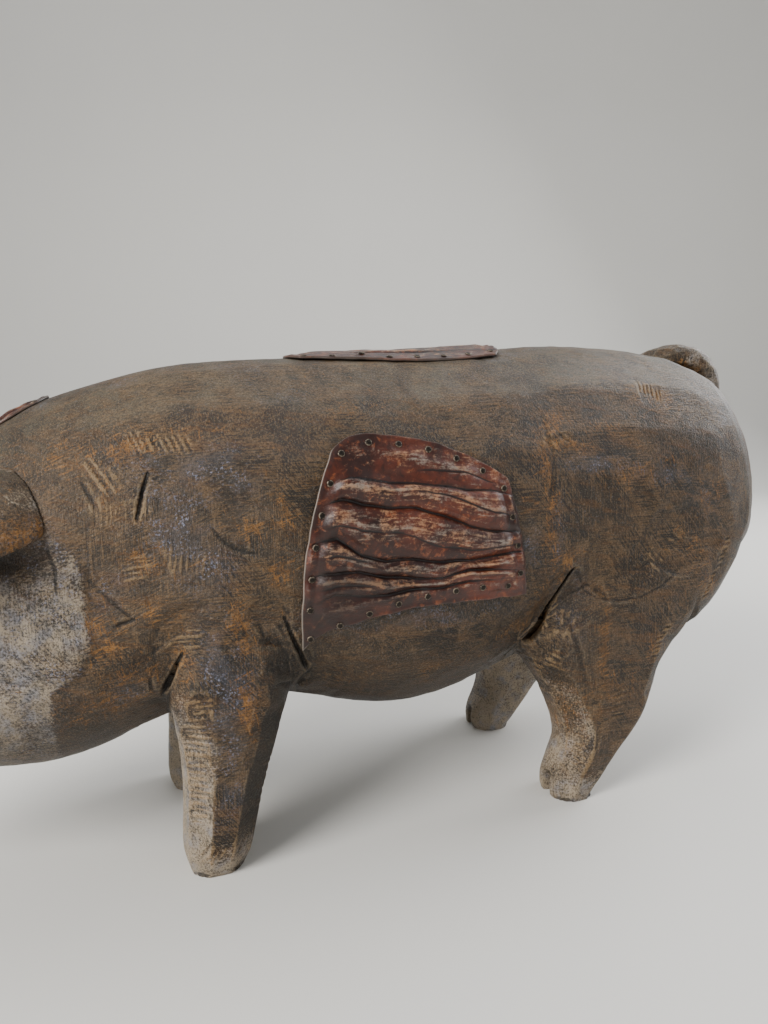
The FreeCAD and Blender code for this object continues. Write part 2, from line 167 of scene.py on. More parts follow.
def get_edges(mesh):
    return read(mesh.edges, "vertices", 2, np.int32)


def get_corners(mesh):
    """The vertex of each face corner, where each face's corners start, and how many it has."""
    corners = read(mesh.loops, "vertex_index", 1, np.int32)
    sizes = read(mesh.polygons, "loop_total", 1, np.int32)
    return corners, np.concatenate([[0], np.cumsum(sizes)[:-1]]), sizes


def vertex_normals(points, triangles):
    a, b, c = (points[triangles[:, i]] for i in range(3))
    face = np.cross(b - a, c - a)
    total = np.zeros_like(points)
    for i in range(3):
        for axis in range(3):
            total[:, axis] += np.bincount(triangles[:, i], face[:, axis], len(points))
    return unit(total)


def neighbour_mean(values, edges):
    """Mean of each vertex's neighbours' values."""
    count = np.bincount(edges.ravel(), minlength=len(values)).astype(float)
    flat = values.reshape(len(values), -1)
    result = np.empty_like(flat)
    for axis in range(flat.shape[1]):
        column = flat[:, axis]
        result[:, axis] = np.bincount(edges[:, 0], column[edges[:, 1]], len(column))
        result[:, axis] += np.bincount(edges[:, 1], column[edges[:, 0]], len(column))
    return (result / np.maximum(count, 1)[:, None]).reshape(values.shape)


def relax(points, edges, weight, rounds):
    """Smooths points by weight, a number or one for each vertex, without shrinking much."""
    weight = np.broadcast_to(weight, len(points))[:, None]
    for _ in range(rounds):
        points = points + 0.6 * weight * (neighbour_mean(points, edges) - points)
        points = points - 0.45 * weight * (neighbour_mean(points, edges) - points)
    return points


def curvature(points, normals, edges):
    """Above 0 in hollows and below 0 on edges, in 1/mm."""
    reach = np.linalg.norm(points[edges[:, 0]] - points[edges[:, 1]], axis=1)
    count = np.maximum(np.bincount(edges.ravel(), minlength=len(points)), 1)
    near = np.bincount(edges.ravel(), np.repeat(reach, 2), len(points)) / count
    bend = np.einsum("ij,ij->i", neighbour_mean(points, edges) - points, normals)
    bend = 4 * bend / np.maximum(near, 0.3) ** 2
    for _ in range(2):
        bend = 0.5 * bend + 0.5 * neighbour_mean(bend, edges)
    return bend


def make_mesh(name, points, faces):
    mesh = bpy.data.meshes.new(name)
    mesh.from_pydata((np.asarray(points) * MM).tolist(), [], [list(f) for f in faces])
    mesh.update()
    return mesh


def make_object(name, data):
    thing = bpy.data.objects.new(name, data)
    bpy.context.scene.collection.objects.link(thing)
    return thing


def shade_smooth(mesh):
    mesh.polygons.foreach_set("use_smooth", [True] * len(mesh.polygons))


def make_piece(name, mesh, material, node):
    """The visible piece that stands in for a CAD node."""
    mesh.materials.clear()
    mesh.materials.append(material)
    thing = make_object(name, mesh)
    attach(thing, "root")
    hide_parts(node)


def voxel_remesh(mesh, size):
    """A copy of the mesh as one skin of nearly even faces."""
    thing = make_object("work", mesh)
    modifier = thing.modifiers.new("remesh", "REMESH")
    modifier.mode = "VOXEL"
    modifier.voxel_size = size * MM
    graph = bpy.context.evaluated_depsgraph_get()
    result = bpy.data.meshes.new_from_object(
        thing.evaluated_get(graph), preserve_all_data_layers=True, depsgraph=graph)
    bpy.data.objects.remove(thing)
    return result


def store(mesh, name, values):
    """Keeps a number for each vertex, for a material to read."""
    layer = mesh.attributes.new(name, "FLOAT", "POINT")
    layer.data.foreach_set("value", np.asarray(values, np.float32))


def store_all(mesh, masks):
    for name, values in masks.items():
        store(mesh, name, values)


def joined_nodes(names):
    """One mesh that holds the triangles of several CAD nodes."""
    points, triangles, start = [], [], 0
    for name in names:
        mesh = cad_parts[name].data
        points.append(get_points(mesh))
        triangles.append(get_triangles(mesh) + start)
        start += len(mesh.vertices)
    return make_mesh("joined", np.concatenate(points), np.concatenate(triangles))


def tree_of(points, faces):
    return BVHTree.FromPolygons(points.tolist(), [list(map(int, f)) for f in faces])


def kd_tree(points):
    tree = KDTree(len(points))
    for i, p in enumerate(points):
        tree.insert(p, i)
    tree.balance()
    return tree


# Marks on the wood. Lines are (x, z) points, seen from the side.

SKIN_VOXEL = 2.3
HEAD_JOINT_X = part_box("head")[1].x / MM
HIND_TOE_Y = 67.5
# Everything lower than this on the skin is pressed flat to the floor.
SOLE_Z = 1.2

# The slot where the thigh stands free of the belly, and the joint of each hind leg block.
SLOT = ((145, 186), (137, 172), (130, 158), (122, 145), (113, 132))
HIND_SEAM = ((153, 177), (158, 167), (166, 161), (184, 158), (202, 159), (222, 165), (238, 174))
FRONT_REAR_CREASE = ((-72, 176), (-66, 160), (-60, 146), (-54, 132))
FRONT_CREASE = ((-136, 160), (-142, 147), (-147, 134), (-149, 130))
# The step behind the cheek, from its lower end up.
CHEEK_EDGE = (
    (-212, 144), (-196, 152), (-188, 168), (-189, 192), (-188, 212), (-192, 226), (-203, 238),
)
SMILE = ((-366, 118), (-345, 114), (-322, 115), (-300, 121), (-284, 131), (-277, 140))

# Grooves that widen and deepen along their line: line, half width and its growth, depth and its
# growth, power of the profile, and where along it the far end starts to close, if it does.
GROOVES = (
    (SLOT, 1.2, 1.5, 3.0, 8.0, 0.6, None),
    (HIND_SEAM, 1.4, 0.0, 0.45, 0.0, 1.0, None),
    (FRONT_REAR_CREASE, 1.2, 0.9, 0.8, 4.0, 1.0, 0.8),
    (FRONT_CREASE, 1.1, 1.5, 0.6, 4.0, 1.0, 0.75),
)

# Cuts and cracks of a flank: line, half width, depth. The first of each side gets painted shade down its
# crack.
BOTH_CUTS = (
    (((-207, 230), (-204, 218), (-205, 206)), 1.3, 0.9),
    (((-262, 150), (-238, 153), (-214, 146)), 2.0, 0.4),
    (((140, 150), (150, 120), (156, 92)), 2.4, 0.8),
)
LEFT_CUTS = (
    (((-149, 272), (-153, 262), (-157, 246)), 1.3, 2.2),
    (((-188, 213), (-178, 202), (-164, 187), (-150, 177)), 1.5, 0.5),
    (((-184, 206), (-172, 193), (-160, 181)), 1.3, 0.45),
    (((-174, 182), (-163, 185)), 1.4, 1.2),
    (((-156, 144), (-155, 134)), 1.2, 1.0),
    (((-186, 268), (-178, 251)), 1.4, 1.0),
    (((-181, 280), (-170, 261)), 1.4, 0.9),
    (((-117, 241), (-109, 230), (-100, 223), (-88, 220)), 1.4, 0.7),
    (((120, 300), (126, 268), (121, 236)), 2.2, 0.5),
) + BOTH_CUTS
RIGHT_CUTS = (
    (((-132, 262), (-128, 243), (-131, 228)), 1.4, 1.8),
    (((150, 262), (172, 254), (190, 240)), 1.6, 0.9),
    (((-92, 200), (-78, 196), (-60, 202)), 1.6, 0.9),
    (((235, 214), (250, 204), (258, 192)), 1.5, 1.0),
) + BOTH_CUTS

# Rows of rasp strokes on a flank: middle x and z, the row's turn and the strokes' lean in
# degrees, how many, pitch, length, half width, depth.
LEFT_RASPS = (
    (-141, 290, -2, 112, 9, 3.9, 12, 1.1, 0.6),
    (-174, 272, 10, 124, 4, 4.8, 20, 1.0, 0.38),
    (-166, 250, 0, 90, 12, 2.7, 14, 0.99, 0.33),
    (-130, 219, -12, 82, 8, 3.3, 16, 1.0, 0.4),
    (-158, 217, 80, 6, 6, 3.3, 18, 1.1, 0.45),
    (-133, 169, 90, 0, 5, 3.3, 19, 1.0, 0.36),
    (288, 184, 64, 12, 6, 4.2, 7, 1.1, 0.65),
    (272, 160, 60, 10, 6, 4.2, 7, 1.1, 0.65),
    (222, 120, 66, 4, 7, 4.0, 8, 1.1, 0.65),
    (222, 313, -20, 80, 6, 3.8, 11, 1.1, 0.52),
    (243, 206, 60, 150, 6, 5.2, 16, 1.1, 0.33),
    (226, 192, 40, 130, 6, 5.4, 14, 1.1, 0.33),
    (132, 281, 10, 140, 4, 7.0, 12, 1.1, 0.39),
)
RIGHT_RASPS = (
    (-150, 281, 4, 66, 8, 3.9, 13, 1.21, 0.78),
    (-112, 226, 6, 98, 8, 3.5, 16, 1.1, 0.52),
    (-150, 205, 80, 14, 6, 3.5, 18, 1.1, 0.45),
    (284, 180, 64, 12, 7, 4.2, 7, 1.1, 0.65),
    (268, 156, 60, 10, 6, 4.2, 7, 1.1, 0.65),
    (222, 118, 66, 4, 7, 4.0, 8, 1.1, 0.65),
    (210, 300, -10, 82, 7, 3.8, 13, 1.1, 0.52),
    (188, 232, 60, 150, 6, 5.0, 18, 1.1, 0.39),
    (140, 236, 120, 32, 5, 5.0, 18, 1.1, 0.39),
)
# The same on a foreleg and a hind leg, round to the front.
LEG_RASPS = (
    (-131, 78, 90, 3, 17, 4.3, 14, 1.4, 0.5),
    (-126, 124, 90, 6, 4, 4.2, 15, 1.2, 0.36),
    (-118, 20, 0, 60, 6, 4.2, 16, 1.21, 0.33),
    (-84, 60, 80, 10, 7, 5.4, 12, 1.32, 0.39),
    (136, 148, 170, 80, 5, 4.6, 26, 1.1, 0.22),
    (128, 112, 60, 150, 6, 4.4, 16, 1.1, 0.24),
    (156, 40, 80, 150, 8, 3.8, 16, 1.1, 0.26),
    (186, 80, 84, 6, 7, 4.4, 18, 1.21, 0.33),
)

# Flats of a leg, each as (turn in degrees, depth), where 90 faces straight out.
FORELEG_FLATS = (
    (92, 1.0), (130, 3.2), (172, 1.2), (52, 3.0), (10, 1.2), (-40, 2.2), (-90, 0.8), (-140, 2.2),
)
HIND_LEG_FLATS = (
    (88, 1.2), (132, 3.6), (172, 1.2), (46, 3.4), (6, 1.2), (-45, 2.2), (-92, 0.8), (-140, 2.2),
)


# Paint on each flank. Rubbed-through ochre, and blue-grey haze: x, z, radii, turn, strength.
LEFT_OCHRE = (
    (-160, 288, 34, 10, 8, 0.9), (-130, 296, 40, 7, 0, 0.5), (-176, 268, 9, 14, 30, 0.8),
    (-155, 222, 16, 14, -30, 0.8), (-182, 175, 16, 22, 10, 0.9), (-165, 150, 26, 12, 0, 0.8),
    (-150, 188, 20, 12, -35, 0.7), (-136, 160, 8, 26, 0, 0.7), (-100, 172, 10, 26, 5, 0.9),
    (-98, 120, 9, 34, 6, 1.0), (-84, 150, 14, 12, 30, 0.6), (-72, 208, 13, 12, 0, 1.0),
    (-72, 246, 10, 22, 10, 0.7), (-48, 262, 14, 8, 20, 0.4), (-90, 235, 22, 14, -30, 0.5),
    (-10, 306, 46, 8, 2, 0.45), (60, 304, 50, 7, 0, 0.35), (128, 292, 20, 10, 20, 0.9),
    (118, 262, 10, 26, 5, 0.9), (142, 276, 22, 7, -8, 0.8), (122, 225, 9, 34, 0, 0.9),
    (112, 238, 22, 12, 10, 0.7), (135, 190, 18, 16, 30, 0.9), (118, 168, 9, 18, -32, 0.9),
    (100, 142, 22, 10, 28, 0.8), (40, 120, 60, 14, 6, 0.5), (-20, 118, 40, 16, -8, 0.5),
    (170, 130, 6, 40, -2, 1.0), (160, 148, 5, 18, 0, 0.7), (176, 96, 14, 14, 0, 0.7),
    (150, 70, 18, 30, 0, 0.7), (190, 250, 60, 16, 8, 0.4), (230, 262, 26, 10, 10, 0.55),
    (272, 232, 22, 26, 40, 0.5), (250, 196, 26, 14, -30, 0.6), (270, 164, 16, 26, 35, 0.6),
    (226, 308, 34, 10, -12, 0.75), (180, 286, 34, 12, -20, 0.5), (218, 118, 14, 18, 0, 0.7),
    (196, 92, 12, 12, 0, 0.5), (-240, 150, 34, 6, 6, 0.5), (-232, 262, 26, 20, 20, 0.35),
    (-196, 282, 26, 14, 30, 0.6), (-240, 96, 60, 10, 0, 0.6), (-184, 126, 34, 15, 14, 0.85),
)
LEFT_BLUE = (
    (-134, 240, 17, 20, -25, 1.0), (-112, 275, 26, 10, 12, 0.9), (-98, 262, 14, 12, 0, 0.7),
    (-120, 214, 15, 18, 0, 0.8), (-152, 282, 16, 9, 0, 0.5), (-112, 140, 15, 34, 4, 1.0),
    (-116, 100, 12, 30, 0, 0.9), (-118, 66, 12, 22, 0, 0.8), (-176, 206, 12, 12, 0, 0.6),
    (-215, 190, 26, 40, 0, 0.6), (-240, 170, 34, 26, 0, 0.5), (128, 214, 5, 22, 0, 0.9),
    (160, 262, 40, 6, -4, 0.7), (220, 252, 30, 8, -10, 0.6), (104, 205, 14, 14, 0, 0.5),
    (10, 168, 70, 9, -3, 0.7), (262, 226, 14, 24, 20, 0.3), (150, 180, 8, 16, 15, 0.4),
    (140, 152, 9, 20, 20, 0.6), (-170, 138, 14, 10, 0, 0.6), (-150, 262, 12, 12, 0, 0.5),
)
RIGHT_OCHRE = (
    (-150, 280, 36, 12, -10, 0.8), (-120, 226, 20, 22, 20, 0.6), (-168, 170, 18, 24, 0, 0.8),
    (-100, 130, 9, 36, 0, 0.9), (-80, 200, 16, 18, 0, 0.7), (-48, 250, 12, 24, 0, 0.7),
    (20, 300, 60, 9, 0, 0.5), (60, 120, 60, 14, 0, 0.5), (130, 250, 14, 34, 0, 0.8),
    (150, 210, 26, 12, 30, 0.6), (128, 170, 12, 22, -30, 0.9), (176, 128, 7, 40, 0, 0.9),
    (160, 70, 18, 30, 0, 0.7), (210, 236, 60, 14, -8, 0.5), (250, 190, 26, 16, 30, 0.6),
    (268, 166, 16, 26, 35, 0.6), (214, 302, 34, 12, 0, 0.7), (-240, 150, 34, 6, 6, 0.5),
    (-206, 280, 26, 14, 30, 0.6), (-240, 96, 60, 10, 0, 0.6), (0, 160, 30, 10, 10, 0.5),
)
RIGHT_BLUE = (
    (-130, 250, 22, 22, 0, 0.9), (-100, 270, 26, 10, 0, 0.7), (-112, 130, 14, 40, 0, 1.0),
    (-118, 70, 12, 24, 0, 0.8), (-215, 190, 28, 40, 0, 0.6), (150, 262, 40, 8, 10, 0.7),
    (210, 214, 30, 14, 0, 0.6), (60, 146, 60, 9, 0, 0.5), (140, 150, 10, 20, 20, 0.6),
)

# Each side's cuts, rasp rows, ochre, blue, and the seed of its rasp strokes.
SIDES = (
    (LEFT, LEFT_CUTS, LEFT_RASPS, LEFT_OCHRE, LEFT_BLUE, 5),
    (RIGHT, RIGHT_CUTS, RIGHT_RASPS, RIGHT_OCHRE, RIGHT_BLUE, 9),
)


# The carved wood. It is shaped and painted as one skin, then parted at its joints.


def rasp_depth(points, weight, rows, seed):
    """How deep rows of strokes cut each point, and 0 to 1 for how near it is to a row."""
    depth, near = np.zeros(len(points)), np.zeros(len(points))
    for number, (cx, cz, turn, lean, count, pitch, length, half, deep) in enumerate(rows):
        row_x, row_z = math.cos(math.radians(turn)), math.sin(math.radians(turn))
        lean_x, lean_z = math.cos(math.radians(lean)), math.sin(math.radians(lean))
        square = row_x * lean_z - row_z * lean_x
        x, z = points[:, 0] - cx, points[:, 2] - cz
        bow = 0.03 * (row_x * z - row_z * x) ** 2 / length
        place = (x * lean_z - z * lean_x) / square + bow
        along = (row_x * z - row_z * x) / square
        index = np.clip(np.round(place / pitch + (count - 1) / 2), 0, count - 1)
        cells = np.stack([index, np.full_like(index, number), np.zeros_like(index)], -1).astype(np.int64)
        jitter = hashed(cells, seed)
        offset = place - (index - (count - 1) / 2) * pitch - (jitter - 0.5) * pitch * 0.35
        reach = length * (0.36 + 0.28 * hashed(cells, seed + 1))
        slide = (hashed(cells, seed + 2) - 0.5) * length * 0.25
        cut = groove(offset * abs(square), half) * clip01(1 - ((along - slide) / reach) ** 4)
        depth = np.maximum(depth, deep * (0.7 + 0.6 * jitter) * cut * weight)
        patch = clip01(1.3 - np.abs(along) / (length * 0.62))
        patch = patch * clip01(1.3 - np.abs(place) / (count * pitch * 0.55))
        near = np.maximum(near, clip01(patch * 2) * (weight > 0.02))
    return depth, near


def flat_facets(points, normals, seeds, radius, bite, limit):
    """Pares flats into the skin, each a plane a little under the seed's place."""
    tree = kd_tree(points)
    out = points.copy()
    for i, reach, deep in zip(seeds, radius, bite):
        found = np.array([k for _, k, _ in tree.find_range(points[i], reach)])
        n = normals[i]
        over = (out[found] - points[i]) @ n + deep
        fade = ramp(np.linalg.norm(points[found] - points[i], axis=1), reach, reach * 0.8)
        alike = ramp(normals[found] @ n, 0.2, 0.6)
        out[found] -= (np.clip(over, 0, limit) * fade * alike)[:, None] * n
    return out


def pare(points, chosen, way, depth, axis, fade, step=4.0):
    """Pares a long flat square to way, following the shape along the axis, to a crisp edge."""
    way = unit(np.array(way, float))
    place = points[chosen, axis] / step
    first = math.floor(place.min())
    bins = (place - first).astype(int)
    count = bins.max() + 1
    reach = points[chosen] @ way
    top = np.full(count, -1e9)
    np.maximum.at(top, bins, reach)
    known = np.where(top > -1e8)[0]
    even = np.interp(np.arange(count), known, top[known])
    even = np.convolve(np.pad(even, 2, "reflect", reflect_type="odd"), np.ones(5) / 5, "valid")
    level = np.interp(place - first - 0.5, np.arange(count), even) - depth
    over = np.clip(reach - level, 0, depth * 2)
    points[chosen] -= over[:, None] * way * fade[:, None]


def hew_leg(points, chosen, flats, side, front):
    """Flats down a leg, fading towards x = front and up into the body."""
    fade = ramp(points[chosen, 2], 165, 125) * ramp(points[chosen, 0], front, front + 13)
    for turn, depth in flats:
        angle = math.radians(side * turn)
        pare(points, chosen, (math.cos(angle), math.sin(angle), 0), depth, 2, fade)


def hew_body(points, side):
    """Long flats at the top edge of the barrel and at the back of the ham."""
    x, y, z = points.T
    barrel = np.where((y * side > 12) & (x > -196) & (x < 345) & (z > 185))[0]
    fade = ramp(x[barrel], -196, -150) * ramp(x[barrel], 345, 290) * ramp(z[barrel], 185, 230)
    for rise, depth in ((52, 2.6), (76, 1.0), (24, 1.2)):
        angle = math.radians(rise)
        pare(points, barrel, (0, side * math.cos(angle), math.sin(angle)), depth, 0, fade, 9)
    ham = np.where((y * side > 12) & (x > 225) & (z > 175))[0]
    fade = ramp(points[ham, 0], 225, 270) * ramp(points[ham, 2], 175, 215)
    for turn, depth in ((48, 3.0), (22, 1.2), (72, 1.2)):
        angle = math.radians(turn)
        pare(points, ham, (math.cos(angle), side * math.sin(angle), 0), depth, 2, fade, 9)


def refine(mesh, wanted):
    """Divides in four each face whose corners are all wanted."""
    bm = bmesh.new()
    bm.from_mesh(mesh)
    edges = [e for e in bm.edges if wanted[e.verts[0].index] and wanted[e.verts[1].index]]
    bmesh.ops.subdivide_edges(bm, edges=edges, cuts=1, use_grid_fill=True)
    bm.to_mesh(mesh)
    bm.free()


def fine_places(points):
    """Where the skin needs smaller faces: legs, face, and round every cut and rasped row."""
    x, y, z = points.T
    fore = (x > -168) & (x < -46)
    hind = (x > 96) & (x < 250) & (z < 150)
    wanted = ((z < 176) & (fore | hind) & (np.abs(y) > 10)) | (x < -252)
    for side, cuts, rasps, _, _, _ in SIDES:
        flank = y * side > 42
        wanted |= rasp_depth(points, flank * 1.0, rasps, 1)[1] > 0
        for line in [cut[0] for cut in cuts] + [SLOT, FRONT_REAR_CREASE, HIND_SEAM]:
            wanted |= flank & (line_distance(x, z, line)[0] < 7)
    return wanted


def wood_skin():
    """The whole pig but its ears and tail: the mesh, its points, edges and triangles."""
    mesh = voxel_remesh(joined_nodes(WOOD_NODES + BODY_DOWELS), SKIN_VOXEL)
    points, edges, triangles = get_points(mesh), get_edges(mesh), get_triangles(mesh)
    sole = points[:, 2] < SOLE_Z
    x, z = points[:, 0], points[:, 2]
    flank = ramp(np.abs(points[:, 1]), 40, 60)
    gap = np.minimum(line_distance(x, z, SLOT)[0], line_distance(x, z, FRONT_REAR_CREASE)[0])
    # The joints over each hip are worked smooth, short of the slot and the crease.
    joints = 1.6 * (spot(x, z, 215, 200, 95, 42) + spot(x, z, -112, 205, 52, 50))
    near_joint = flank * ramp(gap, 1.5, 6)
    weight = clip01(clip01(joints) * near_joint + 0.12) * ramp(z, 4, 12)
    points = relax(points, edges, np.where(x < -245, 0.35, weight), 4)
    pull = 0.5 * clip01(clip01(joints - 0.3) * near_joint)[:, None]
    for _ in range(60):
        points = points + pull * (neighbour_mean(points, edges) - points)
    # The rump falls away a little faster than the block, and the ham under it is fuller.
    x, z = points[:, 0], points[:, 2]
    swell = 7.0 * spot(x, z, 335, 200, 44, 26) - 4.0 * spot(x, z, 352, 290, 40, 34)
    points += vertex_normals(points, triangles) * swell[:, None]
    points[sole, 2] = 0.0
    set_points(mesh, points)
    refine(mesh, fine_places(points))
    points, edges, triangles = get_points(mesh), get_edges(mesh), get_triangles(mesh)
    points = relax(points, edges, ramp(points[:, 2], 2, 6) * 0.7, 2)
    return mesh, points, edges, triangles


def label_pieces(points, mesh):
    """Which of WOOD_NODES each face of the skin belongs to."""
    trees = {}
    for name in WOOD_NODES:
        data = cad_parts[name].data
        trees[name] = tree_of(get_points(data), get_triangles(data))
    corners, starts, sizes = get_corners(mesh)
    centres = np.stack([np.add.reduceat(points[corners, a], starts) for a in range(3)], -1) / sizes[:, None]
    labels = np.zeros(len(sizes), np.int8)
    labels[centres[:, 0] < HEAD_JOINT_X] = WOOD_NODES.index("head")
    for name in WOOD_NODES[2:]:
        low, high = (np.array(c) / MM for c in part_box(name))
        box = np.all((centres > low - 2) & (centres < high + 2), axis=1)
        for i in np.where(box & (labels != WOOD_NODES.index("head")))[0]:
            leg_gap = trees[name].find_nearest(centres[i])[3]
            if leg_gap < 1.2 and leg_gap <= trees["trunk"].find_nearest(centres[i])[3]:
                labels[i] = WOOD_NODES.index(name)
    return labels


def flank_weight(points, normals, side):
    """1 where a point is on a flank and faces out."""
    return ramp(normals[:, 1] * side, 0.25, 0.6) * (points[:, 1] * side > 20)


def cheek_edge_x(z):
    """How far back the cheek reaches at each height."""
    return np.interp(z, [place[1] for place in CHEEK_EDGE], [place[0] for place in CHEEK_EDGE])


def carve(points, normals):
    """Cuts the flats, creases, cuts and face into the skin."""
    rng = np.random.default_rng(41)
    x, y, z = points.T

    # Flats: broad and shallow on the body, closer on the head.
    on_body, on_head = 380, 170
    body = np.where((z > 95) & (x > -230))[0]
    head = np.where(x < -175)[0]
    seeds = np.concatenate([rng.choice(body, on_body), rng.choice(head, on_head)])
    reach = np.concatenate([rng.uniform(14, 34, on_body), rng.uniform(8, 16, on_head)])
    bite = np.concatenate([rng.uniform(0.4, 1.2, on_body), rng.uniform(0.25, 0.7, on_head)])
    out = flat_facets(points, normals, seeds, reach, bite, 1.3)

    # Hewn legs, from the sole to the body.
    for side in (LEFT, RIGHT):
        upright = (y * side > 15) & (z < 180) & (np.abs(normals[:, 2]) < 0.75)
        fore = np.where(upright & (x > -165) & (x < -48))[0]
        hind = np.where(upright & (x > 96) & (x < 262))[0]
        hew_leg(out, fore, FORELEG_FLATS, side, -165)
        hew_leg(out, hind, HIND_LEG_FLATS, side, 96)
        hew_body(out, side)
        # The cleft at the front of each hind hoof.
        toe = (y * side > 15) * ramp(z, 20, 13) * ramp(x, 150, 142) * (x > 120)
        out[:, 0] += 10.0 * toe * groove(y * side - HIND_TOE_Y, 4.6)

    x, y, z = out.T
    for side, cuts, rasps, _, _, seed in SIDES:
        flank = flank_weight(out, normals, side)
        inward = -normals * flank[:, None]
        # The step behind the cheek, and the sunk neck beyond it.
        gap, along = line_distance(x, z, CHEEK_EDGE)
        ends = ramp(along, 0.0, 0.1) * ramp(along, 1.0, 0.88)
        step = np.where(x > cheek_edge_x(z), gap, -gap)
        sunk = 1.5 * ramp(step, -4, 4) * np.exp(-clip01(step / 40) * 3) * ends * (gap < 40)
        out += inward * sunk[:, None]
        # The hollow under the ear.
        out += inward * (5.0 * spot(x, z, -238, 226, 26, 9, 12))[:, None]
        for line, half, wider, deep, deeper, power, close in GROOVES:
            gap, along = line_distance(x, z, line)
            end = 1.0 if close is None else ramp(along, 1.0, close)
            cut = groove(gap, half + wider * along) ** power * (deep + deeper * along) * end
            out += inward * cut[:, None]
        for line, half, deep in cuts:
            gap, along = line_distance(x, z, line)
            taper = np.sin(np.pi * np.clip(along, 0.03, 0.97)) ** 0.5
            out += inward * (deep * taper * groove(gap, half * 1.25))[:, None]
        leg = ramp(normals[:, 1] * side, -0.15, 0.2) * (y * side > 35) * (z < 152)
        depth = rasp_depth(out, flank, rasps, seed)[0] + rasp_depth(out, leg, LEG_RASPS, seed + 3)[0]
        out -= normals * depth[:, None]

    # Gentle hand-cut waviness.
    wave = 0.5 * fractal(points, 38, 3, 2) + 0.22 * noise(points, 9, 4) + 0.10 * noise(points, 4, 6)
    out -= normals * (wave * ramp(z, 3, 12))[:, None]
    carve_face(out, normals)
    out[points[:, 2] < SOLE_Z, 2] = 0.0
    return out


def carve_face(points, normals):
    """Carves brow, eyes, cheeks, smile, muzzle wrinkles and snout into the points."""
    eye_x, eye_z, snout_x = -294.0, 197.0, -370.0
    x, y, z = points.T

    def cut(depth):
        points[:] -= normals * depth[:, None]

    for side in (LEFT, RIGHT):
        mine = ramp(y * side, 8, 16)
        away = np.sqrt((x - eye_x) ** 2 + ((z - eye_z) * 1.35) ** 2)
        socket = np.exp(-((away - 12.5) / 4.0) ** 2) * mine
        brow = spot(x, z, eye_x + 1, eye_z + 16, 17, 4.5, -14) * mine
        bag = spot(x, z, eye_x - 1, eye_z - 14, 15, 3.5, 12) * mine
        cut(3.4 * socket - 2.8 * brow - 1.6 * bag)
        # The corner of the eye, and the cheek's hollow between it and the snout.
        cut(2.0 * spot(x, z, eye_x + 17, eye_z + 1, 7, 2.2, -20) * mine)
        cut(2.4 * spot(x, z, -326, 163, 20, 17, 35) * mine)
        # The smile: a deep line that climbs to the cheek, with a lip beside it.
        gap, along = line_distance(x, z, SMILE)
        line = mine * ramp(along, 1.0, 0.85)
        cut(line * 2.6 * groove(gap, 2.6))
        cut(-np.exp(-((gap - 5) / 3.2) ** 2) * line)
    # Wrinkles across the top of the muzzle.
    top = ramp(normals[:, 2], 0.2, 0.55)
    for place, deep in ((-350, 1.6), (-340, 1.4), (-330, 1.1), (-319, 0.8)):
        bow = place + 0.004 * y ** 2 - 0.1 * (z - 190)
        cut(top * deep * groove(x - bow, 2.3))
    # The snout's rim, and the disc sunk inside it.
    across = np.sqrt((y / 39.5) ** 2 + ((z - 140) / 41.5) ** 2)
    disc = ramp(-normals[:, 0], 0.55, 0.85) * (x < snout_x + 6)
    points[:, 0] += disc * 2.2 * ramp(across, 0.9, 0.72)
    rim = ramp(x, snout_x + 14, snout_x + 4) * (1 - disc)
    cut(rim * 0.6 * (1 + noise(points, 7, 77)))


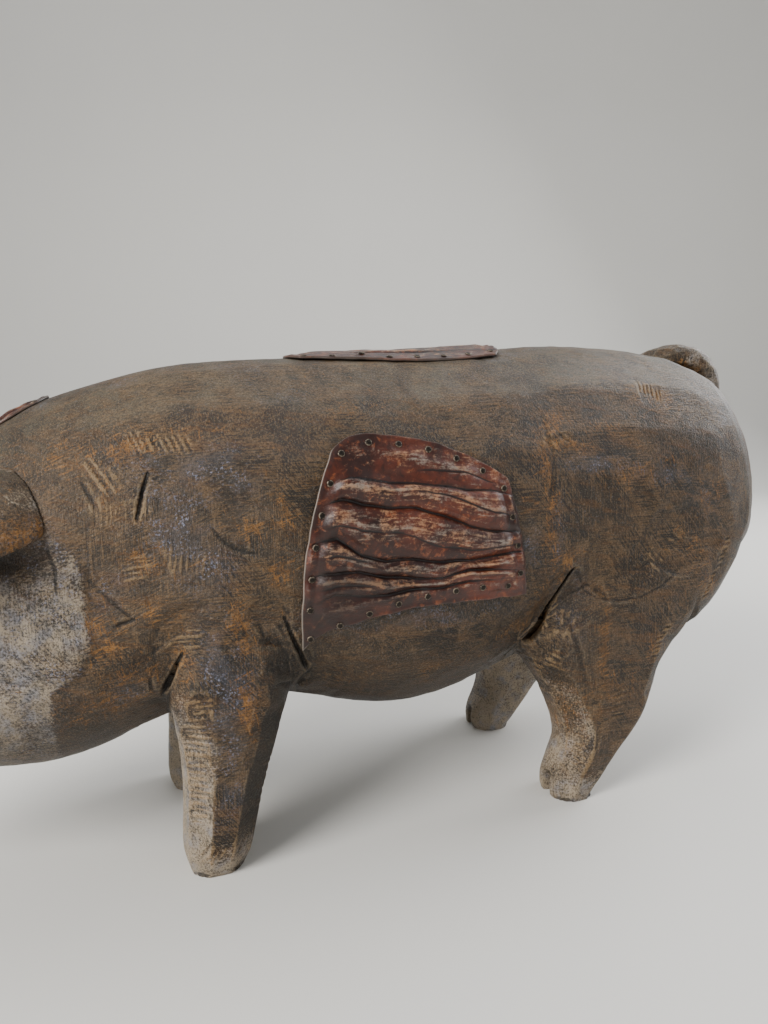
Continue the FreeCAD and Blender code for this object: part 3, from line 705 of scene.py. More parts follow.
def paint_masks(points, normals, edges):
    """Where each colour lies on the wood, from 0 to 1 at each vertex. The material breaks it up."""
    x, y, z = points.T
    out = np.abs(y)
    ochre, blue, rasp = (np.zeros(len(points)) for _ in range(3))
    crack_gap = np.full(len(points), 12.0)
    for side, cuts, rasps, ochres, blues, seed in SIDES:
        flank = ramp(y * side, 10, 34)
        for *oval, strength in ochres:
            ochre = most(ochre, strength * spot(x, z, *oval) * flank)
        for *oval, strength in blues:
            blue = most(blue, strength * spot(x, z, *oval) * flank)
        outer = flank_weight(points, normals, side)
        rasp = most(rasp, rasp_depth(points, outer, rasps + LEG_RASPS, seed)[1])
        for line in (cuts[0][0], SLOT, FRONT_REAR_CREASE, FRONT_CREASE):
            gap = line_distance(x, z, line)[0]
            crack_gap = np.where(outer > 0.3, np.minimum(crack_gap, gap), crack_gap)

    # Off the flanks the rub-through falls by chance.
    elsewhere = 1 - ramp(np.abs(normals[:, 1]), 0.35, 0.75)
    chance = ramp(fractal(points, 60, 21), 0.05, 0.5) * elsewhere
    ochre = most(ochre, 0.7 * chance * ramp(normals[:, 2], 0.9, 0.3))
    blue = most(blue, 0.5 * ramp(fractal(points, 70, 22), 0.1, 0.5) * elsewhere)

    # Limewash: hooves, the fronts and insides of the legs, and the cheeks short of the ears. On the leg
    # fronts, which face the lamps, it is partly painted highlight.
    leg = ramp(z, 150, 100) * ((x > -170) | (z < 60))
    lower = ramp(z, 120, 10)
    hoof = ramp(z + 9 * fractal(points, 20, 31, 2), 42, 8) * np.where(x < 0, 0.72, 0.66)
    # Leg fronts facing forward: limewash, and painted highlight where they face the lamps.
    shin = leg * ramp(-normals[:, 0], 0.30, 0.75) * (np.where(x < 0, 0.60, 0.26) + 0.30 * lower)
    stray = 0.22 * lower * ramp(fractal(points, 26, 32, 2), -0.2, 0.5)
    ridged = 0.62 * spot(x, z, -131, 76, 14, 46) * (out > 55)
    inner = leg * ramp(-normals[:, 1] * np.sign(y), 0.1, 0.6)
    cheek = ramp(x - cheek_edge_x(z), 1.5, -3) * ramp(z, 262, 225) * ramp(normals[:, 2], 0.75, 0.25)
    under_ear = spot(x, z, -236, 226, 30, 12, 10)
    cheek_wash = (0.54 + 0.3 * fractal(points, 30, 33)) * ramp(x, -345, -290)
    pale = most(hoof, shin, stray, ridged, 0.85 * inner, cheek * (1 - under_ear) * cheek_wash)
    blue = most(blue, 0.55 * inner, 0.75 * cheek)
    ochre = most(ochre, 0.6 * inner * ramp(fractal(points, 30, 34, 2), 0.0, 0.4))

    shaded = (
        # Painted shade in the slot, and down the backs of the forelegs along with their stain; darker round
        # the left patch.
        0.95 * np.exp(-(line_distance(x, z, SLOT)[0] / 2.6) ** 2) * (out > 45),
        0.35 * spot(x, z, 18, 222, 96, 82) * ramp(-y, 40, 60),
        0.95 * (x < 0) * ramp(normals[:, 0], 0.15, 0.5) * ramp(z, 170, 140) * ramp(z, 10, 40),
        # Painted shade in the cleft of each hind hoof; darker down the hind leg and on the thigh.
        np.exp(-((out - HIND_TOE_Y) / 2.8) ** 2) * ramp(z, 22, 16) * (x > 120) * (x < 156),
        0.35 * spot(x, z, 196, 92, 12, 60, -20) * (out > 20),
        0.45 * spot(x, z, 165, 138, 42, 46) * (out > 40),
        # Painted shade low on the belly, wherever the wood faces down, and under the ears.
        0.30 * ramp(z, 165, 120) * (x > -60) * (x < 125),
        0.75 * ramp(-normals[:, 2], 0.0, 0.7) * ramp(z, 60, 90),
        0.9 * under_ear * (out > 40),
    )
    bend = curvature(points, normals, edges)
    return {
        "ochre": clip01(ochre), "blue": clip01(blue), "pale": clip01(pale), "shade_and_stain": clip01(most(*shaded)),
        # Painted sheen on the upward faces of the back.
        "grey": ramp(normals[:, 2], 0.35, 0.85) * ramp(z, 200, 280),
        # Painted shade down the cracks, the slot and the creases.
        "rasp": rasp, "painted_crack_shade": clip01(1 - crack_gap / 6),
        # Edges rubbed pale, and painted shade in every hollow.
        "worn": clip01(-bend / 0.18), "painted_hollow_shade": clip01(bend / 0.20) * (1 - 0.55 * rasp),
    }


def close_joints(mesh):
    """Closes each open loop with a fan of flat faces to its middle."""
    bm = bmesh.new()
    bm.from_mesh(mesh)
    open_edges = {e for e in bm.edges if e.is_boundary}
    while open_edges:
        loop = list(open_edges.pop().verts)
        while (step := next((e for e in loop[-1].link_edges if e in open_edges), None)) is not None:
            open_edges.discard(step)
            loop.append(step.other_vert(loop[-1]))
        if loop[-1] is loop[0]:
            loop.pop()
        if len(loop) < 3:
            continue
        middle = bm.verts.new(sum((v.co for v in loop), Vector()) / len(loop))
        for a, b in zip(loop, loop[1:] + loop[:1]):
            link = bm.edges.get((a, b))
            if link is None or not link.is_boundary:
                continue
            forward = any(c.vert is a and c.link_loop_next.vert is b for c in link.link_faces[0].loops)
            bm.faces.new((b, a, middle) if forward else (a, b, middle)).smooth = False
    bm.to_mesh(mesh)
    bm.free()


def wood_piece(node, faces, points, normals, masks):
    """One block's share of the skin. Its shading runs on over the joints to the next block."""
    used = np.unique(np.concatenate(faces))
    place = np.full(len(points), -1)
    place[used] = np.arange(len(used))
    mesh = make_mesh("part", points[used], [place[face].tolist() for face in faces])
    store_all(mesh, {name: values[used] for name, values in masks.items()})
    shade_smooth(mesh)
    own = vertex_normals(get_points(mesh), get_triangles(mesh))
    uses = np.bincount(read(mesh.loops, "edge_index", 1, np.int32), minlength=len(mesh.edges))
    border = np.unique(get_edges(mesh)[uses == 1])
    own[border] = normals[used[border]]
    close_joints(mesh)
    # Each corner takes its vertex's normal, but a fan's corners take the face's own.
    corners, _, sizes = get_corners(mesh)
    owner = np.repeat(np.arange(len(sizes)), sizes)
    fan = np.zeros(len(sizes), bool)
    fan[owner[corners >= len(used)]] = True
    face_normals = read(mesh.polygons, "normal", 3, np.float32)
    vertex_own = own[np.minimum(corners, len(used) - 1)]
    custom = np.where(fan[owner][:, None], face_normals[owner], vertex_own)
    mesh.normals_split_custom_set(custom.tolist())
    make_piece(f"{node}_carved", mesh, WOOD, node)


def carve_body():
    """Makes the six blocks. Returns the uncarved skin's tree, for the leather to lie on."""
    mesh, points, edges, triangles = wood_skin()
    labels = label_pieces(points, mesh)
    carved = relax(carve(points, vertex_normals(points, triangles)), edges, 0.18, 1)
    normals = vertex_normals(carved, triangles)
    masks = paint_masks(carved, normals, edges)
    corners, starts, sizes = get_corners(mesh)
    for label, node in enumerate(WOOD_NODES):
        faces = [corners[starts[i]:starts[i] + sizes[i]] for i in np.where(labels == label)[0]]
        wood_piece(node, faces, carved, normals, masks)
    return tree_of(points, triangles)


# Materials.


def linear(code):
    """A colour written as RRGGBB, as linear red, green, blue and alpha."""
    values = [int(code[i:i + 2], 16) / 255 for i in (0, 2, 4)]
    return [v / 12.92 if v <= 0.04045 else ((v + 0.055) / 1.055) ** 2.4 for v in values] + [1.0]


class Net:
    """Short ways to add and join the nodes of one material."""

    def __init__(self, name):
        self.material = bpy.data.materials.new(name)
        self.material.use_nodes = True
        self.tree = self.material.node_tree
        self.tree.nodes.clear()
        self.place = self.add("ShaderNodeTexCoord").outputs["Object"]

    def add(self, kind, joined=None, **settings):
        """A node with some of its settings, and with values or sockets joined to its inputs."""
        node = self.tree.nodes.new(kind)
        for key, value in settings.items():
            setattr(node, key, value)
        for key, value in (joined or {}).items():
            if isinstance(value, bpy.types.NodeSocket):
                self.tree.links.new(value, node.inputs[key])
            else:
                node.inputs[key].default_value = linear(value) if isinstance(value, str) else value
        return node

    def mask(self, name):
        return self.add("ShaderNodeAttribute", attribute_name=name).outputs["Fac"]

    def math(self, operation, a, b):
        return self.add("ShaderNodeMath", {0: a, 1: b}, operation=operation).outputs[0]

    def times(self, a, b):
        return self.math("MULTIPLY", a, b)

    def plus(self, total, *terms):
        for term in terms:
            total = self.math("ADD", total, term)
        return total

    def about(self, value, share, middle=0.5):
        """A share of how far a value is above its middle."""
        return self.times(self.math("SUBTRACT", value, middle), share)

    def noise(self, scale, detail=4, rough=0.55, warp=0.0, where=None):
        joined = {"Vector": where or self.place, "Scale": scale, "Detail": detail,
                  "Roughness": rough, "Distortion": warp}
        return self.add("ShaderNodeTexNoise", joined).outputs["Fac"]

    def streaks(self, squeeze, turn=0, detail=3, rough=0.65, warp=0.0):
        """Noise squeezed along each axis, after a turn about Y in degrees."""
        turned = self.add("ShaderNodeMapping", {"Vector": self.place, "Rotation": (0, math.radians(turn), 0)})
        drawn = self.add("ShaderNodeMapping", {"Vector": turned.outputs[0], "Scale": squeeze})
        return self.noise(1.0, detail, rough, warp, drawn.outputs[0])

    def step(self, value, low, high):
        """0 at low, 1 at high, smooth between. low may be above high."""
        ends = (low, high, 0.0, 1.0) if low < high else (high, low, 1.0, 0.0)
        joined = dict(zip(("From Min", "From Max", "To Min", "To Max"), ends), Value=value)
        return self.add("ShaderNodeMapRange", joined, interpolation_type="SMOOTHSTEP").outputs[0]

    def mix(self, amount, a, b):
        """Blends two colours, each a socket or RRGGBB. The node's colour sockets go by number."""
        return self.add("ShaderNodeMix", {"Factor": amount, 6: a, 7: b}, data_type="RGBA").outputs[2]

    def coats(self, colour, *coats):
        """Lays coats over a colour, each as where it lies, its strength and its colour."""
        for where, strength, coat in coats:
            colour = self.mix(self.times(where, strength), colour, coat)
        return colour

    def bump(self, height, strength, distance):
        joined = {"Height": height, "Strength": strength, "Distance": distance}
        return self.add("ShaderNodeBump", joined).outputs[0]

    def finish(self, colour, rough, settings):
        """Joins colour, roughness and the shader's other settings to the output."""
        joined = {"Base Color": colour, "Roughness": rough, **settings}
        shader = self.add("ShaderNodeBsdfPrincipled", joined)
        self.add("ShaderNodeOutputMaterial", {"Surface": shader.outputs[0]})
        return self.material


def carved_wood():
    """Dark stained wood, hatched by the rasp, with ochre, blue-grey and limewash rubbed through, painted
    shade in its hollows, cracks and low places, and painted sheen and highlight on its tops and leg fronts.
    """
    n = Net("carved_wood")
    ochre, blue, pale, grey = (n.mask(name) for name in ("ochre", "blue", "pale", "grey"))
    worn = n.mask("worn")
    # Fine hatch in several leans, scratches, and broad brushed streaks.
    upright, level = n.streaks((1300, 1000, 60)), n.streaks((55, 1000, 1300))
    slant = n.streaks((1150, 900, 46), 38, warp=0.3)
    slant_back = n.streaks((46, 900, 1100), 24, warp=0.4)
    brushed = n.streaks((20, 90, 150), -14, 5, warp=1.2)
    broad = n.noise(11, 4, 0.6, 0.6)
    medium = n.noise(44, 5, 0.62, 0.8)
    grit = n.noise(760, 3, 0.75)
    where = n.noise(24, 2, 0.5)
    hatch = n.plus(n.times(upright, n.step(where, 0.35, 0.6)), n.times(level, n.step(where, 0.6, 0.4)))
    hatch = n.plus(n.times(hatch, 0.6), n.times(n.mix(n.step(broad, 0.4, 0.6), slant, slant_back), 0.5))

    speckle = n.times(n.step(n.noise(620, 3, 0.75), 0.54, 0.62), n.step(n.noise(80, 3, 0.6), 0.42, 0.58))
    fleck = n.times(n.step(n.noise(820, 2, 0.7), 0.62, 0.7), n.step(where, 0.42, 0.6))
    colour = n.coats(
        n.mix(n.step(broad, 0.36, 0.66), "1b150e", "473a2b"),
        (n.step(brushed, 0.46, 0.66), 0.75, "553715"),
        (n.step(medium, 0.56, 0.36), 0.6, "18140f"),
        (n.step(hatch, 0.55, 0.65), 0.5, "7d6242"),
        (n.step(hatch, 0.48, 0.38), 0.35, "120d09"),
        # A paler painted sheen on the upward faces.
        (n.times(grey, n.step(medium, 0.3, 0.7)), 0.45, "625c4b"),
        # Blue-grey haze and its speckle.
        (n.times(blue, n.step(medium, 0.36, 0.62)), 0.6, "3f424b"),
        (n.times(speckle, blue), 0.8, "8b90a8"),
        (fleck, 0.4, "7d7c82"),
    )

    # Ochre, rubbed through in strokes.
    strokes = n.math("MAXIMUM", n.streaks((70, 260, 420), 20, 4, 0.7, 1.0),
                     n.streaks((460, 260, 60), 12, 4, 0.7, 0.8))
    reach = n.plus(n.times(ochre, 0.26), n.times(strokes, 1.25), n.about(hatch, 0.7, 0.55))
    rubbed = n.times(n.step(reach, 0.84, 0.98), n.step(ochre, 0.02, 0.45))
    tone = n.mix(n.step(n.noise(110, 4, 0.7), 0.35, 0.65), "5a3b16", "96662d")
    stray = n.times(n.step(strokes, 0.62, 0.70), n.step(n.noise(30, 3), 0.42, 0.56))

    # Limewash over the hooves, shins and cheeks, with painted highlight on the shin fronts and on the tops of
    # the ears' rims.
    wash = n.plus(pale, n.about(medium, 1.1), n.about(hatch, 1.4, 0.55), n.about(grit, 1.3))
    wash = n.times(n.step(wash, 0.22, 0.95), n.step(pale, 0.04, 0.3))
    lime = n.mix(n.noise(120), "83745f", "bdae98")
    lime = n.coats(lime, (n.step(n.noise(95), 0.44, 0.72), 0.7, "7f8490"))

    painted_crack_shade = n.step(n.mask("painted_crack_shade"), 0.80, 0.92)
    colour = n.coats(
        colour,
        (rubbed, 0.78, tone),
        (stray, 0.75, "80592b"),
        (wash, 0.85, lime),
        # Rasped rows show paler wood on their crests and edges are rubbed; hollows get painted shade.
        (n.times(n.mask("rasp"), n.step(worn, 0.2, 0.8)), 0.4, "a08055"),
        (n.times(n.step(worn, 0.3, 1.0), n.step(n.noise(60, 3), 0.35, 0.6)), 0.35, "85765e"),
        (n.step(n.mask("painted_hollow_shade"), 0.15, 0.9), 0.75, "100d09"),
        # Painted shade, with some stain, in the slot and clefts, under the belly and ears, and down the legs.
        (n.mask("shade_and_stain"), 0.75, "120f0b"),
        # Painted shade down the cracks, the slot and the creases.
        (painted_crack_shade, 0.85, "0b0907"),
        # Grit of the paint, light over dark.
        (n.step(grit, 0.5, 0.36), 0.6, "0f0c09"),
        (n.step(grit, 0.56, 0.66), 0.25, "8d8272"),
    )
    rough = n.plus(0.32, n.times(hatch, 0.20), n.times(wash, 0.12), n.times(grey, 0.14))
    height = n.plus(hatch, n.times(grit, 0.7), n.times(brushed, 0.5), n.times(painted_crack_shade, -0.8))
    return n.finish(colour, rough, {"Normal": n.bump(height, 0.9, 0.0011), "Specular IOR Level": 0.36})


def leather():
    """Waxed red-brown leather: painted shade, near black, in the folds, and tan-grey on their crests, partly
    rubbed and partly painted sheen.
    """
    n = Net("leather")
    mottle = n.noise(150, 5, 0.7, 0.5)
    streak = n.streaks((110, 420, 520), 0, 4, warp=0.8)
    fleck = n.noise(700, 3, 0.75)
    grain = n.add("ShaderNodeTexVoronoi", {"Vector": n.place, "Scale": 1300}, feature="DISTANCE_TO_EDGE")
    # Crests rubbed tan-grey, with the painted sheen carried in from the crest mask.
    rub_and_sheen = n.plus(n.times(n.mask("crest_wear_and_sheen"), 0.8), n.about(streak, 1.5), n.about(mottle, 1.3),
                 n.about(fleck, 1.1))
    worn = n.step(rub_and_sheen, 0.30, 0.92)
    colour = n.coats(
        n.mix(n.step(n.noise(26, 4, 0.6, 0.6), 0.38, 0.64), "280f08", "54220f"),
        (n.step(mottle, 0.52, 0.68), 0.55, "8c4a24"),
        (n.step(mottle, 0.48, 0.32), 0.65, "170b08"),
        (worn, 0.80, n.mix(n.step(n.noise(60, 3), 0.42, 0.6), "a8805f", "857b70")),
        # Painted shade, near black, down the fold valleys and creases.
        (n.step(n.mask("valley_shade"), 0.15, 0.8), 0.9, "0c0706"),
        (n.mask("shade"), 0.8, "180c09"),
        # A pale cut edge, with a painted highlight along the left edge.
        (n.mask("rim"), 0.75, "8d867c"),
    )
    rough = n.plus(0.25, n.times(mottle, 0.26), n.times(worn, 0.10))
    height = n.plus(n.times(grain.outputs["Distance"], 0.5), n.times(streak, 0.7), n.times(fleck, 0.5))
    return n.finish(colour, rough, {
        "Normal": n.bump(height, 0.5, 0.0005), "Specular IOR Level": 0.42,
        "Coat Weight": 0.1, "Coat Roughness": 0.28,
    })


def tack_metal():
    """Darkened brass, lighter round the rim of each head."""
    n = Net("tack_metal")
    mottle = n.noise(900, 4, 0.6)
    colour = n.mix(n.step(mottle, 0.4, 0.65), "15110e", "30281f")
    colour = n.mix(n.times(n.mask("rim"), n.step(mottle, 0.35, 0.6)), colour, "7d7162")
    rough = n.plus(0.42, n.times(mottle, 0.3))
    return n.finish(colour, rough, {"Normal": n.bump(mottle, 0.35, 0.0002), "Metallic": 0.6})


def dowel_wood():
    n = Net("dowel_wood")
    rings = n.streaks((260, 260, 18), 0, 4, 0.6, 0.5)
    colour = n.mix(n.step(rings, 0.35, 0.7), "8a6a45", "b8935f")
    return n.finish(colour, n.plus(0.55, n.times(rings, 0.2)), {"Normal": n.bump(rings, 0.3, 0.0004)})


# Ears and tail.


def whittled(node, voxel, facets, reach, bite, seed):
    """A small block, remeshed finely and pared in flats: its mesh, points, normals and masks."""
    mesh = voxel_remesh(joined_nodes([node]), voxel)
    points, edges, triangles = get_points(mesh), get_edges(mesh), get_triangles(mesh)
    points = relax(points, edges, 0.5, 3)
    normals = vertex_normals(points, triangles)
    rng = np.random.default_rng(seed)
    seeds = rng.choice(len(points), facets)
    radius, depth = rng.uniform(*reach, facets), rng.uniform(*bite, facets)
    points = flat_facets(points, normals, seeds, radius, depth, 1.2)
    points -= normals * (0.15 * noise(points, 4, seed) + 0.25 * noise(points, 14, seed + 1))[:, None]
    points = relax(points, edges, 0.3, 1)
    normals = vertex_normals(points, triangles)
    set_points(mesh, points)
    none = np.zeros(len(points))
    return mesh, points, normals, {**paint_masks(points, normals, edges), "painted_crack_shade": none, "rasp": none}


def small_piece(node, mesh, masks):
    store_all(mesh, masks)
    shade_smooth(mesh)
    make_piece(f"{node}_carved", mesh, WOOD, node)


def carve_ear(node, side):
    mesh, points, normals, masks = whittled(node, 1.0, 90, (7, 14), (0.2, 0.6), 300 + side)
    x, z = points[:, 0], points[:, 2]
    ochre = 0.95 * spot(x, z, -225, 240, 40, 12, 10) + 0.5 * ramp(fractal(points, 30, 7, 2), 0, 0.5)
    rubbed = 0.3 * ramp(fractal(points, 26, 8, 2), 0.1, 0.6)
    # A painted highlight along the top of the ear's rim.
    rim = 0.35 * ramp(masks["worn"], 0.3, 0.8) * ramp(z, 238, 250)
    small_piece(node, mesh, {
        **masks, "ochre": clip01(ochre), "pale": clip01(rubbed + rim),
        # Painted shade on the face of the ear that turns to the head.
        "worn": 0.4 * masks["worn"], "shade_and_stain": 0.7 * ramp(-side * normals[:, 1], 0.0, 0.7),
    })


def carve_tail():
    mesh, points, normals, masks = whittled("tail", 0.8, 110, (5, 10), (0.3, 0.9), 320)
    up = normals[:, 2]
    small_piece("tail", mesh, {
        # Painted sheen on the tail's upward faces.
        **masks, "grey": 0.4 * ramp(up, 0.3, 0.9), "pale": 0.45 * ramp(fractal(points, 16, 10, 2), -0.1, 0.4),
        "ochre": 0.9 * ramp(fractal(points, 22, 9, 2), -0.1, 0.4) * ramp(up, 0.6, -0.2),
    })


# Leather patches and their tacks.

# Each patch's outline: its top, bottom, left and right sides, as arcs through three places.
LEFT_OUTLINE = (
    (((-38, 279), (-29, 287), (-10, 290)), ((-10, 290), (36, 282), (85, 257))),
    (((-60, 152), (-50, 161), (-38, 166)), ((-38, 166), (-10, 171), (14, 175)),
     ((14, 175), (50, 174), (102, 173))),
    (((-38, 279), (-57, 222), (-60, 152)),),
    (((85, 257), (96, 215), (102, 173)),),
)
RIGHT_OUTLINE = (
    (((-16, 262), (29, 276), (86, 268)),),
    (((-24, 182), (14, 164), (54, 158)), ((54, 158), (84, 168), (104, 190))),
    (((-16, 262), (-31, 220), (-24, 182)),),
    (((86, 268), (108, 228), (104, 190)),),
)
BACK_OUTLINE = (
    (((-38, -20), (30, -37), (108, -36)),),
    (((-43, 10), (-30, 31), (2, 38)), ((2, 38), (64, 44), (116, 26))),
    (((-38, -20), (-43, -8), (-43, 10)),),
    (((108, -36), (120, -10), (116, 26)),),
)
CROWN_OUTLINE = (
    (((-256, -12), (-232, -17), (-210, -11)),),
    (((-257, 18), (-232, 25), (-211, 19)),),
    (((-256, -12), (-263, 2), (-257, 18)),),
    (((-210, -11), (-204, 3), (-211, 19)),),
)

FOLD_PLACES = (0, 0.15, 0.25, 0.36, 0.48, 0.6, 0.72, 0.85, 1)
# The left patch's main creases: how far down the patch each lies at FOLD_PLACES, and how
# strong it is there.
LEFT_FOLDS = (
    ((.20, .225, .246, .273, .269, .261, .255, .206, .15), (0, .3, 1, 1, 1, 1, 1, 1, .8)),
    ((.30, .327, .375, .407, .411, .44, .485, .50, .45), (.5, 1, 1, 1, 1, 1, 1, 1, 1)),
    ((.474, .523, .63, .69, .712, .725, .715, .671, .61), (1, 1, 1, 1, 1, 1, 1, 1, 1)),
    ((.632, .70, .72, .78, .825, .82, .778, .77, .77), (1, 1, 1, 1, 1, 1, .9, .4, 0)),
    ((.80, .80, .853, .884, .89, .891, .856, .85, .87), (0, .3, .9, 1, 1, 1, .7, .2, 0)),
)
# Lesser creases: the same, with no place in the count of folds.
LEFT_CREASES = (
    ((.2, .2, .2, .2, .19, .168, .135, .142, .10), (0, 0, 0, 0, .2, 1, 1, 1, .9)),
    ((.3, .3, .3, .3, .30, .31, .335, .361, .333), (0, 0, 0, 0, .2, .8, 1, 1, 1)),
    ((.42, .45, .50, .53, .55, .6, .66, .66, .6), (.7, .8, .7, .4, .2, .1, 0, 0, 0)),
    ((.56, .60, .655, .685, .7, .7, .7, .7, .7), (.6, .8, .7, .3, 0, 0, 0, 0, 0)),
    ((.5, .5, .5, .52, .58, .63, .64, .60, .55), (0, 0, 0, .3, .5, .5, .7, .8, .7)),
    ((.72, .76, .79, .82, .85, .87, .87, .87, .87), (.4, .6, .5, .2, 0, 0, 0, 0, 0)),
    ((.9, .9, .92, .93, .93, .93, .92, .92, .92), (.2, .4, .4, .3, .3, .4, .4, .3, .2)),
)
# Height of the fold below each main crease, the first being above them all.
LEFT_HEIGHTS = (1.8, 5.2, 5.8, 5.2, 5.0, 3.4)

# A tack from its crown to its point: radius, and height over the leather's skin.
TACK_PROFILE = (
    (0.0, 0.42), (0.8, 0.40), (1.45, 0.32), (1.95, 0.16), (2.28, -0.14), (2.36, -0.45),
    (2.25, -0.75), (1.0, -0.8), (0.72, -0.85), (0.70, -9.0), (0.12, -11.8),
)


def arc(start, middle, end, steps=24):
    """Points along the circle arc through three places, as complex numbers."""
    a, b, c = (complex(*p) for p in (start, middle, end))
    w = (c - a) / (b - a)
    centre = a + (b - a) * (w - abs(w) ** 2) / (2j * w.imag)
    begin, mid, finish = (np.angle(p - centre) for p in (a, b, c))
    turn = (finish - begin) % (2 * math.pi)
    if (mid - begin) % (2 * math.pi) > turn:
        turn -= 2 * math.pi
    return [centre + abs(a - centre) * np.exp(1j * (begin + turn * t / steps)) for t in range(steps + 1)]


def side_curve(arcs):
    """Places at even steps along arcs laid end to end, as a function of 0 to 1."""
    places = arc(*arcs[0])
    for following in arcs[1:]:
        places += arc(*following)[1:]
    places = np.array(places)
    length = np.concatenate([[0], np.cumsum(np.abs(np.diff(places)))])
    return lambda t: np.stack(
        [np.interp(t * length[-1], length, part) for part in (places.real, places.imag)], -1)


def coons(top, bottom, left, right, u, v):
    """Fills the space between four side curves. u runs left to right, v from the top down."""
    across, down = u[:, None], v[:, None]
    ruled = (1 - down) * top(u) + down * bottom(u) + (1 - across) * left(v) + across * right(v)
    upper = (1 - across) * top(0.0) + across * top(1.0)
    lower = (1 - across) * bottom(0.0) + across * bottom(1.0)
    return ruled - (1 - down) * upper - down * lower


def chance_folds(count, seed):
    """Main creases, lesser creases and fold heights for a patch that isn't seen closely."""
    rng = np.random.default_rng(seed)
    size = len(FOLD_PLACES)
    folds, creases = [], []
    for k in range(count):
        wander = np.cumsum(rng.normal(0, 0.018, size))
        folds.append(((k + 1) / (count + 1) + wander - wander.mean(), rng.uniform(0.7, 1.0, size)))
    for k in range(count):
        wander = np.cumsum(rng.normal(0, 0.025, size))
        creases.append(((k + 0.5) / (count + 0.5) + wander, rng.uniform(0.0, 0.9, size) ** 1.5))
    return folds, creases, rng.uniform(1.8, 3.0, count + 1)


def fold_height(u, v, folds, creases, heights, span, seed):
    """Height of the folded leather over its border, how strongly painted shade lies in each valley, and fold
    shoulders.
    """
    wander = 0.008 * noise(np.stack([u * 9, v * 3, 0 * u], -1), 1.0, seed)
    one = np.ones_like(u)
    levels = [0 * u] + [np.interp(u, FOLD_PLACES, line) + wander for line, _ in folds] + [one]
    strengths = [one] + [np.interp(u, FOLD_PLACES, power) for _, power in folds] + [one]
    height, count, shoulder, valley_shade = (np.zeros_like(u) for _ in range(4))
    for k in range(len(levels) - 1):
        low, high = levels[k], np.maximum(levels[k + 1], levels[k] + 0.01)
        t = clip01((v - low) / (high - low))
        inside = (v >= low) & (v < high)
        share = np.where(t < 0.5, strengths[k], strengths[k + 1])
        swell = 1 - share * (1 - np.sin(np.pi * t ** 0.75) ** 0.7)
        height = np.where(inside, heights[k] * swell * np.minimum(1.0, (high - low) * 9), height)
        count = np.where(inside, k + t, count)
        shoulder = np.where(inside, np.exp(-((t - 0.34) / 0.24) ** 2), shoulder)
    for level, strength in zip(levels[1:-1], strengths[1:-1]):
        valley_shade = most(valley_shade, strength * np.exp(-np.abs(v - level) * span / 1.1))
    for line, power in creases:
        gap = (v - np.interp(u, FOLD_PLACES, line) - wander * 1.5) * span
        strength = np.interp(u, FOLD_PLACES, power)
        height -= strength * 1.35 * np.exp(-np.abs(gap) / 1.2)
        height += strength * 0.55 * np.exp(-((gap + 3.4) / 2.2) ** 2)
        valley_shade = most(valley_shade, 0.85 * strength * np.exp(-np.abs(gap) / 0.9))
    # Lumps that follow the folds, finer and weaker each time, then sharp ridges.
    for along, across, size, more in ((5, 3.1, 1.3, 3), (8, 6.0, 0.55, 4), (12, 9.5, 0.16, 5)):
        height += size * noise(np.stack([u * along, count * across, 0 * u], -1), 1.0, seed + more)
    ridge = 1 - np.abs(noise(np.stack([u * 4, count * 5.27, 0 * u], -1), 1.0, seed + 6))
    height += 0.8 * clip01(ridge - 0.75)
    return height, valley_shade, shoulder


def tack_places(node):
    """The seat of each tack of a group, and the way its head faces."""
    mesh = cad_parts[node].data
    points = get_points(mesh)
    parent = list(range(len(points)))

    def root(i):
        while parent[i] != i:
            parent[i] = parent[parent[i]]
            i = parent[i]
        return i

    # Doubled vertices at one place count as joined.
    first = {}
    doubled = [(i, first.setdefault(tuple(p), i)) for i, p in enumerate(np.round(points, 2))]
    for a, b in doubled + get_edges(mesh).tolist():
        parent[root(a)] = root(b)
    roots = np.array([root(i) for i in parent])
    tacks = []
    for r in np.unique(roots):
        mine = points[roots == r]
        centre = mine.mean(0)
        axis = np.linalg.svd(mine - centre, full_matrices=False)[2][0]
        reach = (mine - centre) @ axis
        wide = np.linalg.norm(mine - centre - reach[:, None] * axis, axis=1)
        if reach[np.argmax(wide)] < 0:
            axis, reach = -axis, -reach
        tacks.append((centre + axis * reach.max(), axis))
    return tacks


def tack_head(seat, axis, rng):
    """A domed, slightly crooked head with its shank: its points, faces and rim mask."""
    turns = 20
    tilt = unit(axis + rng.normal(0, 0.05, 3))
    across = unit(np.cross(tilt, [0.3, 0.2, 0.9]))
    other = np.cross(tilt, across)
    squash = rng.uniform(0.93, 1.05)
    points, rim = [seat + tilt * TACK_PROFILE[0][1]], [0.0]
    for radius, height in TACK_PROFILE[1:]:
        for angle in np.arange(turns) * 2 * math.pi / turns:
            wobble = 1 + 0.02 * math.sin(3 * angle + seat[0])
            spoke = across * math.cos(angle) * squash + other * math.sin(angle)
            points.append(seat + tilt * height + radius * wobble * spoke)
            rim.append(1.0 if 1.9 < radius < 2.34 and height > -0.4 else 0.0)
    rings = np.arange(len(points) - 1).reshape(-1, turns) + 1
    faces = [[a, b, 0] for a, b in zip(rings[0], np.roll(rings[0], -1))]
    for upper, lower in zip(rings, rings[1:]):
        faces += np.stack([upper, lower, np.roll(lower, -1), np.roll(upper, -1)], -1).tolist()
    return points, faces + [rings[-1][::-1].tolist()], rim


